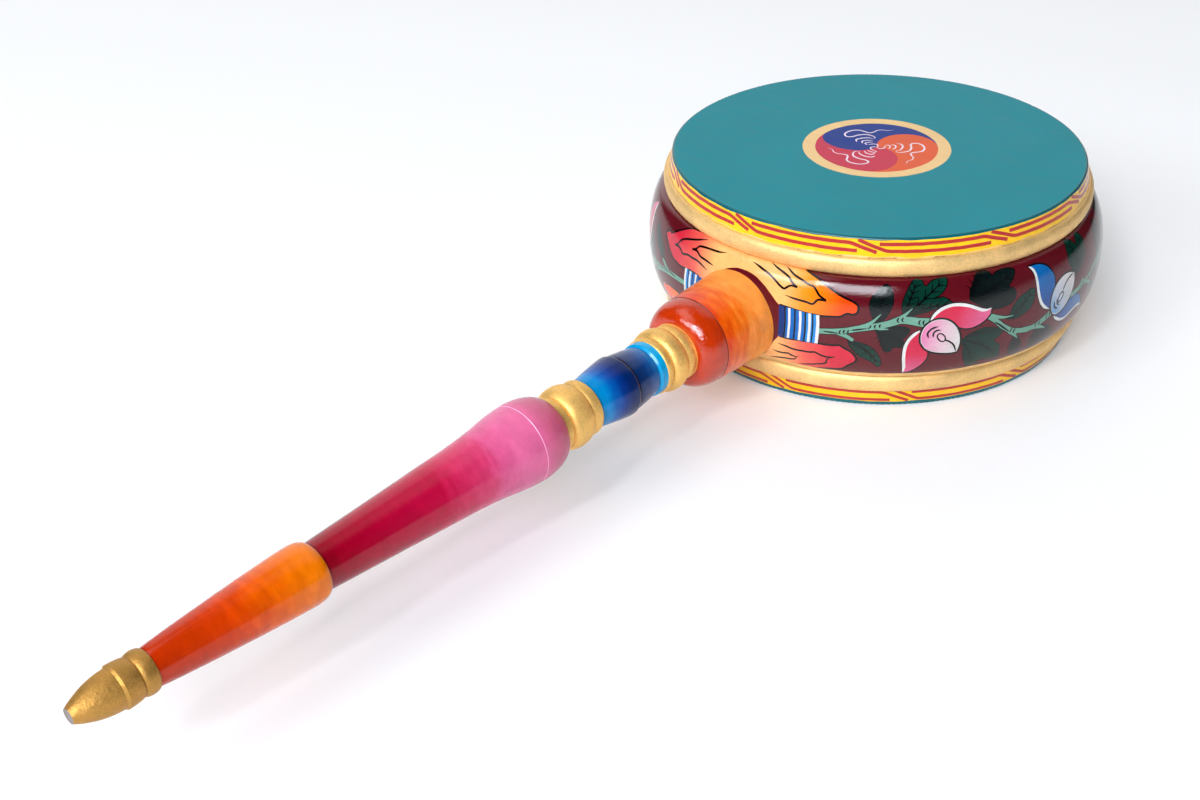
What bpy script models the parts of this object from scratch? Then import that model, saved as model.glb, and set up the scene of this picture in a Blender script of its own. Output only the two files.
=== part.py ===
"""Temple hand drum: a bulged two-headed drum with a long turned handle, lying on its lower head.

The origin is the centre of the lower head's underside, +Z is up the drum's axis and the handle
reaches out along -Y. All sizes are in metres.
"""

import math

import bmesh
import bpy

# Drum
HEAD_RADIUS = 0.175
DRUM_HEIGHT = 0.151
SKIN = 0.0015
GAP = 0.0003
SKIN_EDGE_ROUND = 0.002
LAP_RADIUS = 0.1779
LAP_DEPTH = 0.0159
MOULDING_DEPTH = 0.0312
MOULDING_SWELL = 0.0044
GROOVE_RADIUS = 0.1788
BULGE_SWELL = 0.0167
WALL = 0.0148

# Handle, with places as distances from the drum's axis
HANDLE_HEIGHT = 0.0690
CUP_ROOT = 0.150
CUP_ROOT_RADIUS = 0.0408
TIP_END = 0.7992
TIP_END_RADIUS = 0.0053

# Each turned stretch of the handle, from the drum outwards: its shape, the place and the radius
# where it ends, and how far it swells beyond a straight line. A step gives only a new radius.
HANDLE_TURNINGS = (
    ("line", 0.2457, 0.0368, 0.0),  # cup
    ("dome", 0.2662, 0.0232, 0.0),  # ball
    ("step", 0.2664, 0.0216, 0.0),
    ("bead", 0.2755, 0.0221, 0.0012),  # inner gold ring: collar, bead, collar
    ("bead", 0.2920, 0.0222, 0.0037),
    ("bead", 0.2990, 0.0218, 0.0009),
    ("line", 0.3045, 0.0216, 0.0),  # light blue collar
    ("step", 0.3062, 0.0200, 0.0),
    ("line", 0.3318, 0.0233, 0.0),  # blue barrel
    ("step", 0.3338, 0.0244, 0.0),
    ("bead", 0.3708, 0.0184, 0.0009),
    ("step", 0.3710, 0.0211, 0.0),
    ("bead", 0.3795, 0.0209, 0.0009),  # outer gold ring: collar, bead, collar
    ("bead", 0.4003, 0.0208, 0.0037),
    ("bead", 0.4080, 0.0207, 0.0006),
    ("rise", 0.4340, 0.0311, 0.0),  # pink bulb
    ("line", 0.4390, 0.0309, 0.0),
    ("line", 0.4510, 0.0298, 0.0),  # long red neck
    ("line", 0.4690, 0.0271, 0.0),
    ("line", 0.4900, 0.0250, 0.0),
    ("line", 0.5200, 0.0232, 0.0),
    ("line", 0.5620, 0.0207, 0.0),
    ("line", 0.6215, 0.0173, 0.0),
    ("rise", 0.6305, 0.0214, 0.0),  # orange sleeve
    ("bead", 0.7453, 0.0129, 0.0011),
    ("bead", 0.7558, 0.0131, 0.0020),  # gold tip: bead, shoulder, pointed end
    ("rise", 0.7675, 0.0150, 0.0),
    ("step", 0.7692, 0.0137, 0.0),
    ("nose", TIP_END, TIP_END_RADIUS, 0.0),
)
STEPS_OF = {"line": 1, "step": 1, "dome": 4, "rise": 4, "bead": 4, "nose": 4}

DRUM_SEGMENTS = 72
HANDLE_SEGMENTS = 28
BULGE_STEPS = 4
MOULDING_STEPS = 4

MAROON = (0.130, 0.012, 0.014, 1.0)
TEAL = (0.030, 0.270, 0.310, 1.0)
ORANGE = (0.800, 0.120, 0.010, 1.0)


def clear_scene():
    for thing in list(bpy.data.objects):
        bpy.data.objects.remove(thing, do_unlink=True)


def painted(name, colour, roughness):
    material = bpy.data.materials.new(name)
    material.use_nodes = True
    shader = material.node_tree.nodes["Principled BSDF"]
    shader.inputs["Base Color"].default_value = colour
    shader.inputs["Roughness"].default_value = roughness
    shader.inputs["Metallic"].default_value = 0.0
    return material


def half_round(centre_height, half_height, base_radius, swell, steps):
    """Points (radius, height) up a half ellipse that stands out from base_radius."""
    points = []
    for step in range(steps + 1):
        angle = math.pi * (step / steps - 0.5)
        points.append(
            (base_radius + swell * math.cos(angle), centre_height + half_height * math.sin(angle))
        )
    return points


def shell_side():
    """The outer side of the drum's body, from the lower lap's edge up to the upper one's."""
    middle = DRUM_HEIGHT / 2
    moulding_centre = (LAP_DEPTH + MOULDING_DEPTH) / 2
    moulding_half = (MOULDING_DEPTH - LAP_DEPTH) / 2
    moulding = (moulding_half, LAP_RADIUS, MOULDING_SWELL, MOULDING_STEPS)
    lower = half_round(moulding_centre, *moulding)
    bulge = half_round(
        middle, middle - MOULDING_DEPTH, GROOVE_RADIUS, BULGE_SWELL, 2 * BULGE_STEPS
    )
    upper = half_round(DRUM_HEIGHT - moulding_centre, *moulding)
    return lower[:-1] + bulge + upper[1:]


def shell_outline():
    """The closed outline of the shell's wall: up its outer side and down its inside."""
    middle = DRUM_HEIGHT / 2
    under_skin = SKIN + GAP
    seat_radius = LAP_RADIUS - under_skin
    rim_radius = HEAD_RADIUS - under_skin
    inner_radius = GROOVE_RADIUS - WALL
    inside = half_round(
        middle, middle - MOULDING_DEPTH, inner_radius, BULGE_SWELL, BULGE_STEPS
    )
    return (
        [(inner_radius, under_skin), (rim_radius, under_skin), (seat_radius, LAP_DEPTH)]
        + shell_side()
        + [
            (seat_radius, DRUM_HEIGHT - LAP_DEPTH),
            (rim_radius, DRUM_HEIGHT - under_skin),
            (inner_radius, DRUM_HEIGHT - under_skin),
        ]
        + inside[::-1]
    )


def head_outline():
    """The skin, from its middle on top, over the rim and down, and back along its inside."""
    edge = HEAD_RADIUS - SKIN_EDGE_ROUND
    halfway = SKIN_EDGE_ROUND * (1 - math.sqrt(0.5))
    lap_end = DRUM_HEIGHT - LAP_DEPTH + GAP
    return [
        (0.0, DRUM_HEIGHT),
        (edge, DRUM_HEIGHT),
        (HEAD_RADIUS - halfway, DRUM_HEIGHT - halfway),
        (HEAD_RADIUS, DRUM_HEIGHT - SKIN_EDGE_ROUND),
        (LAP_RADIUS, lap_end),
        (LAP_RADIUS - SKIN, lap_end),
        (HEAD_RADIUS - SKIN, DRUM_HEIGHT - SKIN),
        (0.0, DRUM_HEIGHT - SKIN),
    ]


def turning(shape, start, end, swell):
    """Points (radius, place) of one turned stretch after its start, which is left out."""
    (radius, place), (end_radius, end_place) = start, end
    steps = STEPS_OF[shape]
    points = []
    for step in range(1, steps + 1):
        along = step / steps
        blend = along
        extra = 0.0
        if shape == "dome":
            along = math.sin(along * math.pi / 2)
            blend = 1 - math.sqrt(1 - along**2)
        elif shape == "rise":
            along = 1 - math.cos(along * math.pi / 2)
            blend = math.sqrt(1 - (1 - along) ** 2)
        elif shape == "bead":
            angle = math.pi * (along - 0.5)
            along = (1 + math.sin(angle)) / 2
            blend = along
            extra = swell * math.cos(angle)
        elif shape == "nose":
            blend = along**2
        points.append(
            (radius + blend * (end_radius - radius) + extra, place + along * (end_place - place))
        )
    return points


def handle_outline():
    outline = [(0.0, CUP_ROOT), (CUP_ROOT_RADIUS, CUP_ROOT)]
    for shape, place, radius, swell in HANDLE_TURNINGS:
        outline += turning(shape, outline[-1], (radius, place), swell)
    return outline + [(0.0, TIP_END)]


def grown(outline, distance):
    """An outline moved outwards by a distance, along the normals of its two neighbouring edges."""
    moved = []
    for index, (radius, height) in enumerate(outline):
        before = outline[max(index - 1, 0)]
        after = outline[min(index + 1, len(outline) - 1)]
        run = (after[0] - before[0], after[1] - before[1])
        length = math.hypot(*run)
        moved.append(
            (radius + distance * run[1] / length, height - distance * run[0] / length)
        )
    return moved


def lathe(name, outline, segments, closed):
    """Turn an outline of (radius, height) points about Z. A radius of 0 becomes a single pole."""
    shape = bmesh.new()
    rings = []
    for radius, height in outline:
        count = segments if radius > 0 else 1
        ring = []
        for index in range(count):
            angle = 2 * math.pi * index / segments
            ring.append(shape.verts.new((radius * math.cos(angle), radius * math.sin(angle), height)))
        rings.append(ring)
    followers = rings[1:] + rings[:1] if closed else rings[1:]
    for ring, follower in zip(rings, followers):
        for index in range(segments):
            after = (index + 1) % segments
            corners = [
                ring[index % len(ring)],
                ring[after % len(ring)],
                follower[after % len(follower)],
                follower[index % len(follower)],
            ]
            shape.faces.new(list(dict.fromkeys(corners)))
    bmesh.ops.recalc_face_normals(shape, faces=shape.faces)
    mesh = bpy.data.meshes.new(name)
    shape.to_mesh(mesh)
    shape.free()
    mesh.shade_smooth()
    mesh.set_sharp_from_angle(angle=math.radians(35))
    thing = bpy.data.objects.new(name, mesh)
    bpy.context.scene.collection.objects.link(thing)
    return thing


def make_shell(material):
    shell = lathe("shell", shell_outline(), DRUM_SEGMENTS, closed=True)
    shell.data.materials.append(material)


def make_heads(material):
    upper = head_outline()
    lower = [(radius, DRUM_HEIGHT - height) for radius, height in upper]
    for name, outline in (("head_upper", upper), ("head_lower", lower)):
        head = lathe(name, outline, DRUM_SEGMENTS, closed=False)
        head.data.materials.append(material)


def make_shell_cutter():
    """The shell's outer form as a solid, grown by the gap, that copes the handle's cup."""
    side = grown(shell_side(), GAP)
    outline = [(0.0, side[0][1])] + side + [(0.0, side[-1][1])]
    cutter = lathe("shell_clearance", outline, DRUM_SEGMENTS, closed=False)
    cutter.hide_render = True
    cutter.display_type = "WIRE"
    return cutter


def make_handle(material, cutter):
    handle = lathe("handle", handle_outline(), HANDLE_SEGMENTS, closed=False)
    handle.location = (0.0, 0.0, HANDLE_HEIGHT)
    handle.rotation_euler = (math.radians(90), 0.0, 0.0)
    handle.data.materials.append(material)
    cope = handle.modifiers.new("cope", "BOOLEAN")
    cope.operation = "DIFFERENCE"
    cope.solver = "EXACT"
    cope.object = cutter


def main():
    clear_scene()
    make_shell(painted("shell lacquer", MAROON, 0.25))
    make_heads(painted("skin paint", TEAL, 0.60))
    make_handle(painted("handle paint", ORANGE, 0.35), make_shell_cutter())


main()
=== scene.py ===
"""A temple hand drum: a bulged shell, two painted heads and a long turned handle.

The solid model gives the frame: metres, +Z up the drum's axis, the handle along -Y, and the
origin at the middle of the lower head's underside. Painted pictures are laid out flat in
millimetres and wrapped round their surfaces, and turned shapes are spun from their outlines.
"""

import math

import bmesh
import bpy
import numpy as np
from mathutils import Matrix, Quaternion, Vector, noise
from mathutils.geometry import delaunay_2d_cdt


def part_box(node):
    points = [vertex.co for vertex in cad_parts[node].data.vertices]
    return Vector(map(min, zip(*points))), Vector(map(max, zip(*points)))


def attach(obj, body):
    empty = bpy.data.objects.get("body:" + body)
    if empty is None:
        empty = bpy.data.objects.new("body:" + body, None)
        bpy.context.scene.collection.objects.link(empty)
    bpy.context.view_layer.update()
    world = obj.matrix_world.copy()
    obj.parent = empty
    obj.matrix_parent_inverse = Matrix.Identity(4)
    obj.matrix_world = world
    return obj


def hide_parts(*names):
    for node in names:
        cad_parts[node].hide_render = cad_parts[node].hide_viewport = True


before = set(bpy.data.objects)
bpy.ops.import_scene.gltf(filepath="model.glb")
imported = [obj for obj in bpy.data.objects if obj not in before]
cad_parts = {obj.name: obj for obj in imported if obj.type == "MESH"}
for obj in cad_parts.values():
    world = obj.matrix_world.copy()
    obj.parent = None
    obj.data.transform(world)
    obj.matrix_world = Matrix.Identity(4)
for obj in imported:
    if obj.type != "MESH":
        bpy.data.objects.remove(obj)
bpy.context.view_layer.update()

bl_info = {
    "name": "Temple hand drum",
    "version": (1, 0, 0),
    "blender": (4, 5, 0),
    "location": "3D View > Sidebar > Hand drum",
    "description": "Builds a painted hand drum with a turned handle",
    "category": "Add Mesh",
}

# Sizes of the solids, in metres
HEAD_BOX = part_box("head_upper")
DRUM_HEIGHT = HEAD_BOX[1][2]
LAP_RADIUS = (HEAD_BOX[1][0] - HEAD_BOX[0][0]) / 2
TIP_END = -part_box("handle")[0][1]
HEAD_RADIUS = 0.175
SKIN = 0.0015
SKIN_EDGE_ROUND = 0.002
LAP_DEPTH = 0.0159
MOULDING_DEPTH = 0.0312
MOULDING_SWELL = 0.0044
GROOVE_RADIUS = 0.1788
BULGE_SWELL = 0.0167
WALL = 0.0148
UNDER_SKIN = SKIN + 0.0003
HANDLE_HEIGHT = 0.0690
CUP_FOOT = 0.1900
CUP_FOOT_RADIUS = 0.0391
TIP_END_RADIUS = 0.0053

MM = 0.001
COLUMNS = 240  # facets round the drum
HANDLE_COLUMNS = 144
BULGE_ROWS = 30
BELLY_STEPS = 4000  # steps up the belly's outline, by which distances along it are counted
ROUND_STEPS = 20  # steps up a moulding, and up the hollow inside the shell
SHARP_ANGLE = math.radians(32)
NEAR = 1e-4  # metres within which a point of the handle counts as on its foot or its axis
BELLY_RADIUS = 190.0  # millimetres, the radius at which widths on the belly's picture are true
RIM_RADIUS = 176.5
WELD = 2e-6

# The painter's hand, in millimetres
CURVE_STEP = 1.3  # between points of a painted outline
WOBBLE = 0.22  # how far a painted edge strays from its line
WOBBLE_LENGTH = 7.0
WOBBLE_SEED = 7  # not 0, which would take the time of day
WAVE_LENGTH = 16.0  # of a band's edges
WAVE_CALM = 20.0  # the run over which a band's waves die away towards the sheet's sides
WAVE_POINTS = 240
EDGE_MARGIN = 0.4  # bare strip at a picture's edges
SHEET_WELD = 1e-4
# How a stroke's end tapers: the least share left before the power that keeps its shoulders full
TAPER_LEAST = 0.06
TAPER_POWER = 0.6
ELLIPSE_POINTS = 29


# ---------------------------------------------------------------- colours


def linear(red, green, blue):
    """A colour in sRGB steps of 0 to 255 as the share of light that it reflects."""
    shares = np.array((red, green, blue)) / 255
    return tuple(np.where(shares > 0.04045, ((shares + 0.055) / 1.055) ** 2.4, shares / 12.92))


def swatch(name, description, red, green, blue):
    """A colour that a user can change."""
    return bpy.props.FloatVectorProperty(
        name=name,
        description=description,
        subtype="COLOR",
        size=3,
        min=0.0,
        max=1.0,
        default=linear(red, green, blue),
    )


class ShellColours(bpy.types.PropertyGroup):
    """Paint on the shell."""

    maroon: swatch("Maroon", "Lacquered ground of the belly", 84, 11, 22)
    peach: swatch("Peach", "Flame lobes beside the handle", 238, 170, 102)
    amber: swatch("Amber", "Middle of the orange lobe", 240, 134, 18)
    orange: swatch("Orange", "Tip of the orange lobe", 232, 62, 2)
    coral: swatch("Coral", "Middle of the red lobes", 212, 84, 72)
    scarlet: swatch("Scarlet", "Tip of the red lobes", 190, 36, 56)
    ink: swatch("Ink", "Outlines and veins", 3, 3, 5)
    navy: swatch("Navy", "Darkest stripe", 8, 42, 104)
    blue: swatch("Blue", "Bright petals", 4, 92, 158)
    cobalt: swatch("Cobalt", "Middle stripes", 0, 88, 162)
    sky: swatch("Sky blue", "Lightest stripes", 24, 122, 190)
    white: swatch("White", "White edges", 204, 204, 200)
    stem: swatch("Stem", "Pale green stems", 97, 143, 124)
    leaf: swatch("Leaf", "Dark green leaves", 3, 42, 32)
    dark_leaf: swatch("Dark leaf", "Nearly black leaves", 6, 17, 17)
    rose: swatch("Rose", "Root of the pink petals", 190, 28, 62)
    pink: swatch("Pink", "Ends of the pink petals", 198, 86, 126)
    blush: swatch("Blush", "Middle petal of the pink flower", 204, 112, 154)
    cream: swatch("Petal white", "Pale side of the middle petals", 198, 192, 190)
    deep_blue: swatch("Deep blue", "Shaded end of the blue petals", 22, 66, 132)
    pale_blue: swatch("Pale blue", "Root of the blue flower's middle petal", 84, 142, 190)


class HeadColours(bpy.types.PropertyGroup):
    """Paint on the heads and their rims."""

    teal: swatch("Teal", "Ground of the heads", 26, 126, 136)
    # Edge is the teal lapping over the rolled edge, made darker as painted shade
    edge: swatch("Edge", "Darker teal over the rolled edge", 0, 88, 96)
    yellow: swatch("Yellow", "Ground of the fret", 236, 182, 0)
    red: swatch("Red", "Strokes of the fret", 168, 38, 32)
    ring: swatch("Ring", "Ring round the emblem", 224, 188, 134)
    blue: swatch("Blue", "Blue arm of the emblem", 36, 58, 128)
    orange: swatch("Orange", "Orange arm of the emblem", 212, 92, 58)
    crimson: swatch("Crimson", "Crimson arm of the emblem", 188, 58, 78)
    chalk: swatch("Chalk", "Curls drawn over the emblem", 224, 208, 218)


# ---------------------------------------------------------------- flat curves


def curve(points, step=CURVE_STEP):
    """Points about a step apart along a smooth curve through the given ones."""
    knots = np.array(points, float)
    first = 2 * knots[0] - knots[1]
    last = 2 * knots[-1] - knots[-2]
    padded = np.vstack([first, knots, last])
    lengths = np.linalg.norm(np.diff(padded, axis=0), axis=1)
    pieces = []
    for index in range(1, len(padded) - 2):
        start, end = padded[index], padded[index + 1]
        before, here, after = lengths[index - 1 : index + 2]
        leaving = (end - padded[index - 1]) * here / (before + here)
        arriving = (padded[index + 2] - start) * here / (here + after)
        count = max(1, math.ceil(here / step))
        t = (np.arange(count) / count)[:, None]
        pieces.append(
            (2 * t**3 - 3 * t**2 + 1) * start
            + (t**3 - 2 * t**2 + t) * leaving
            + (3 * t**2 - 2 * t**3) * end
            + (t**3 - t**2) * arriving
        )
    pieces.append(knots[-1:])
    return np.vstack(pieces)


def outline(*arcs):
    """A closed outline from smooth arcs that meet at corners."""
    return np.vstack([curve(arc)[:-1] for arc in arcs])


def sideways(path):
    """Unit vectors to the left of a path at each of its points."""
    run = np.gradient(path, axis=0)
    run /= np.maximum(np.linalg.norm(run, axis=1), 1e-9)[:, None]
    return np.stack([-run[:, 1], run[:, 0]], axis=1)


def ribbon(path, width, taper=(0.0, 0.0), end_width=None):
    """The outline of a stroke. Each taper is the share of the path over which an end thins."""
    along = np.linspace(0, 1, len(path))
    widths = np.linspace(width, width if end_width is None else end_width, len(path))
    for share, run in zip(taper, (along, 1 - along)):
        if share:
            widths = widths * np.clip(run / share, TAPER_LEAST, 1) ** TAPER_POWER
    half = sideways(path) * widths[:, None] / 2
    return np.vstack([path + half, (path - half)[::-1]])


def turned_flat(points, degrees):
    angle = math.radians(degrees)
    spin = np.array([[math.cos(angle), math.sin(angle)], [-math.sin(angle), math.cos(angle)]])
    return np.array(points, float) @ spin


def arc(radius, start, end, count):
    """Points round part of a circle, from one angle in degrees to another."""
    angles = np.radians(np.linspace(start, end, count))
    return radius * np.stack([np.cos(angles), np.sin(angles)], axis=1)


def ellipse(centre, long_half, short_half, tilt):
    """Points round an ellipse whose long axis is tilted by some degrees."""
    upright = arc(1.0, 0, 360, ELLIPSE_POINTS) * (long_half, short_half)
    return turned_flat(upright, tilt) + centre


def fade(stops, start, end):
    """Paint that passes through colours on the way from start to end. A stop is (share, colour)."""
    start = np.array(start, float)
    run = np.array(end, float) - start
    shares = [share for share, _ in stops]
    colours = np.array([tuple(colour) for _, colour in stops])

    def tint(points):
        along = (points - start) @ run / (run @ run)
        return np.stack([np.interp(along, shares, channel) for channel in colours.T], axis=1)

    return tint


def inside(points, ring):
    """Which points lie inside a closed outline, by how often it winds round them."""
    x, y = points.T
    winding = np.zeros(len(points), int)
    for (x0, y0), (x1, y1) in zip(ring, np.roll(ring, -1, axis=0)):
        side = (x1 - x0) * (y - y0) - (x - x0) * (y1 - y0)
        winding += (y0 <= y) & (y1 > y) & (side > 0)
        winding -= (y0 > y) & (y1 <= y) & (side < 0)
    return winding != 0


class Picture:
    """Paint on a flat sheet, in millimetres: shapes laid one over another on a ground."""

    def __init__(self, low, high, ground):
        noise.seed_set(WOBBLE_SEED)
        self.low = np.array(low, float)
        self.high = np.array(high, float)
        self.shapes = []
        self.lay()
        self.add(None, ground, 0)

    def lay(self, flip=(1, 1), shift=(0, 0)):
        """Lays the next shapes flipped and then shifted."""
        self.flip = np.array(flip, float)
        self.shift = np.array(shift, float)

    def add(self, ring, tint, finish):
        self.shapes.append((ring, tint, finish, self.flip, self.shift))

    def stray(self, points):
        """The points as an unsteady hand would place them, inside the sheet."""
        moved = []
        for x, y in points:
            where = Vector((x, y, 0)) / WOBBLE_LENGTH
            shake = noise.noise_vector(where)
            moved.append((x + WOBBLE * shake.x, y + WOBBLE * shake.y))
        return np.clip(moved, self.low + EDGE_MARGIN, self.high - EDGE_MARGIN)

    def fill(self, ring, tint, finish=0):
        self.add(self.stray(np.array(ring) * self.flip + self.shift), tint, finish)

    def stroke(self, path, width, tint, taper=(0.0, 0.0), end_width=None):
        self.fill(ribbon(curve(path), width, taper, end_width), tint)

    def band(self, low, high, wave, tint, finish=0):
        """A band all the way across. Its edges wave, except where the sheet's sides will meet."""
        across = np.linspace(self.low[0], self.high[0], WAVE_POINTS)
        calm = np.clip((self.high[0] - np.abs(across)) / WAVE_CALM, 0, 1)
        edges = []
        for level, seed in ((low, 3.0), (high, 8.0)):
            waves = [noise.noise(Vector((x / WAVE_LENGTH, seed, level))) for x in across]
            edges.append(np.stack([across, level + wave * calm * np.array(waves)], axis=1))
        ring = np.clip(np.vstack([edges[0], edges[1][::-1]]), self.low, self.high)
        self.add(ring, tint, finish)

    def triangles(self, border, extra):
        """Corners on the sheet, triangles, and the number of the shape on top of each."""
        points = [Vector(point) for point in border]
        edges = [(i, (i + 1) % len(points)) for i in range(len(points))]
        points += [Vector(point) for point in extra]
        for ring, *_ in self.shapes[1:]:
            first = len(points)
            points += [Vector(point) for point in ring]
            edges += [(first + i, first + (i + 1) % len(ring)) for i in range(len(ring))]
        corners, _, faces, _, _, _ = delaunay_2d_cdt(points, edges, [], 0, SHEET_WELD, False)
        corners = np.array(corners)
        faces = np.array(faces)
        middles = corners[faces].mean(axis=1)
        top = np.zeros(len(faces), int)
        for number, (ring, *_) in enumerate(self.shapes[1:], start=1):
            low, high = ring.min(axis=0), ring.max(axis=0)
            near = np.flatnonzero(((middles >= low) & (middles <= high)).all(axis=1))
            top[near[inside(middles[near], ring)]] = number
        return corners, faces, top

    def mesh(self, name, surface, border, extra, finishes):
        """The picture on a surface, which gives places and normals, as a painted mesh."""
        corners, faces, top = self.triangles(border, extra)
        places, normals = surface(corners)
        mesh = bpy.data.meshes.new(name)
        mesh.from_pydata(places.tolist(), [], faces.tolist())
        for material in finishes:
            mesh.materials.append(material)
        colours = np.ones((len(faces), 3, 4))
        slots = np.zeros(len(faces), int)
        for number in np.unique(top):
            _, tint, finish, flip, shift = self.shapes[number]
            worn = top == number
            slots[worn] = finish
            if callable(tint):
                # The fade of a stretched shape is read further along, by the stretch squared
                own = (corners[faces[worn]].reshape(-1, 2) - shift) * flip
                colours[worn, :, :3] = tint(own).reshape(-1, 3, 3)
            else:
                colours[worn, :, :3] = tuple(tint)
        mesh.polygons.foreach_set("material_index", slots)
        paint = mesh.color_attributes.new("paint", "FLOAT_COLOR", "CORNER")
        paint.data.foreach_set("color", colours.ravel())
        aim = mesh.attributes.new("aim", "FLOAT_VECTOR", "CORNER")
        aim.data.foreach_set("vector", normals[faces.ravel()].ravel())
        return mesh


# ---------------------------------------------------------------- surfaces


def half_round(centre_height, half_height, base_radius, swell, steps):
    """Points (radius, height) up a half ellipse that stands out from base_radius."""
    angles = np.linspace(-math.pi / 2, math.pi / 2, steps + 1)
    return np.stack(
        [base_radius + swell * np.cos(angles), centre_height + half_height * np.sin(angles)],
        axis=1,
    )


def reach_along(side):
    """How far along an outline each of its points lies, in millimetres."""
    steps = np.linalg.norm(np.diff(side, axis=0), axis=1) / MM
    return np.concatenate([[0.0], np.cumsum(steps)])


def wrapped(side, reference_radius, zero):
    """A surface for Picture.mesh that wraps a sheet round the drum along a side's outline.

    Sheet widths are true at the reference radius, and heights are counted along the outline
    from the distance zero, all in millimetres.
    """
    reach = reach_along(side)
    run = np.gradient(side, axis=0)
    out = np.stack([run[:, 1], -run[:, 0]], axis=1)
    out /= np.linalg.norm(out, axis=1)[:, None]

    def surface(sheet):
        angle = sheet[:, 0] / reference_radius
        along = sheet[:, 1] + zero
        radius, height, out_radius, out_height = (
            np.interp(along, reach, column) for column in (*side.T, *out.T)
        )
        turn = np.stack([np.sin(angle), -np.cos(angle)], axis=1)
        places = np.column_stack([turn * radius[:, None], height])
        normals = np.column_stack([turn * out_radius[:, None], out_height])
        return places, normals

    return surface


def flat(height, up):
    """A level surface for Picture.mesh that faces up (1) or down (-1)."""

    def surface(sheet):
        places = np.column_stack([sheet * MM, np.full(len(sheet), height)])
        normals = np.tile((0.0, 0.0, float(up)), (len(sheet), 1))
        return places, normals

    return surface


def sheet_border(low, high, columns, levels):
    """Points round a sheet: columns along its long edges, and levels up its sides."""
    across = np.linspace(low[0], high[0], columns + 1)
    bottom = [(x, low[1]) for x in across]
    right = [(high[0], y) for y in levels]
    top = [(x, high[1]) for x in across[::-1]]
    left = [(low[0], y) for y in levels[::-1]]
    return bottom + right + top + left


def sheet_grid(low, high, columns, levels):
    """Points inside a sheet at which it can bend."""
    across = np.linspace(low[0], high[0], columns + 1)[1:-1]
    return [(x, y) for x in across for y in levels]


def wrapped_mesh(name, picture, side, reference_radius, zero, levels, finishes):
    """A picture wrapped round the drum along a side's outline, with facets that bend at levels."""
    layout = (picture.low, picture.high, COLUMNS, levels)
    surface = wrapped(side, reference_radius, zero)
    return picture.mesh(name, surface, sheet_border(*layout), sheet_grid(*layout), finishes)


# ---------------------------------------------------------------- objects and nodes


def add_object(name, data):
    """A new object in the scene."""
    thing = bpy.data.objects.new(name, data)
    bpy.context.scene.collection.objects.link(thing)
    return thing


def add_node(tree, kind, links=(), **settings):
    """A new node. Each link is a socket and what goes in there: another socket or a value."""
    made = tree.nodes.new(kind)
    for key, value in settings.items():
        setattr(made, key, value)
    for socket, source in links:
        if isinstance(source, bpy.types.NodeSocket):
            tree.links.new(source, made.inputs[socket])
        else:
            made.inputs[socket].default_value = source
    return made


# ---------------------------------------------------------------- turned shapes


def add_socket(tree, name, kind, way="INPUT", default=None):
    socket = tree.interface.new_socket(name, in_out=way, socket_type=kind)
    if default is not None:
        socket.default_value = default
    return socket


def lathe_tree(slots):
    """Geometry nodes that spin a profile of points (radius, 0, height) about Z.

    The profile's finish attribute gives, at the start of each stretch, which of the material
    inputs it wears.
    """
    tree = bpy.data.node_groups.new("lathe", "GeometryNodeTree")
    add_socket(tree, "Profile", "NodeSocketGeometry")
    add_socket(tree, "Columns", "NodeSocketInt", default=96)
    add_socket(tree, "Weld distance", "NodeSocketFloat", default=WELD)
    for slot in range(slots):
        add_socket(tree, f"Finish {slot}", "NodeSocketMaterial")
    add_socket(tree, "Geometry", "NodeSocketGeometry", way="OUTPUT")

    def result(kind, links=(), **settings):
        return add_node(tree, kind, links, **settings).outputs[0]

    def maths(operation, *terms):
        return result("ShaderNodeMath", enumerate(terms), operation=operation)

    given = add_node(tree, "NodeGroupInput").outputs
    links = [("Geometry", given["Profile"])]
    counts = add_node(tree, "GeometryNodeAttributeDomainSize", links, component="MESH").outputs
    size = counts["Point Count"]
    links = [("Vertices X", maths("ADD", given["Columns"], 1.0)), ("Vertices Y", size)]
    sheet = result("GeometryNodeMeshGrid", links)
    index = result("GeometryNodeInputIndex")
    place = result("GeometryNodeInputPosition")
    row = maths("MODULO", index, size)
    links = [("Geometry", given["Profile"]), ("Value", place), ("Index", row)]
    knot = result("GeometryNodeSampleIndex", links, data_type="FLOAT_VECTOR")
    parts = add_node(tree, "ShaderNodeSeparateXYZ", [(0, knot)]).outputs
    turn = maths("DIVIDE", maths("FLOOR", maths("DIVIDE", index, size)), given["Columns"])
    angle = maths("MULTIPLY", turn, math.tau)
    across = maths("MULTIPLY", parts[0], maths("COSINE", angle))
    along = maths("MULTIPLY", parts[0], maths("SINE", angle))
    spun = result("ShaderNodeCombineXYZ", enumerate((across, along, parts[2])))
    shape = result("GeometryNodeSetPosition", [("Geometry", sheet), ("Position", spun)])
    stretch = maths("MODULO", index, maths("SUBTRACT", size, 1.0))
    links = [("Name", "finish")]
    named = result("GeometryNodeInputNamedAttribute", links, data_type="FLOAT")
    links = [("Geometry", given["Profile"]), ("Value", named), ("Index", stretch)]
    finish = result("GeometryNodeSampleIndex", links, data_type="FLOAT")
    shape = result("GeometryNodeRealizeInstances", [("Geometry", shape)])
    for slot in range(slots):
        links = [(0, finish), (1, float(slot)), ("Epsilon", 0.1)]
        worn = result("FunctionNodeCompare", links, data_type="FLOAT", operation="EQUAL")
        links = [("Geometry", shape), ("Selection", worn), ("Material", given[f"Finish {slot}"])]
        shape = result("GeometryNodeSetMaterial", links)
    links = [("Geometry", shape), ("Distance", given["Weld distance"])]
    welded = result("GeometryNodeMergeByDistance", links)
    add_node(tree, "NodeGroupOutput", [("Geometry", welded)])
    return tree


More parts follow.
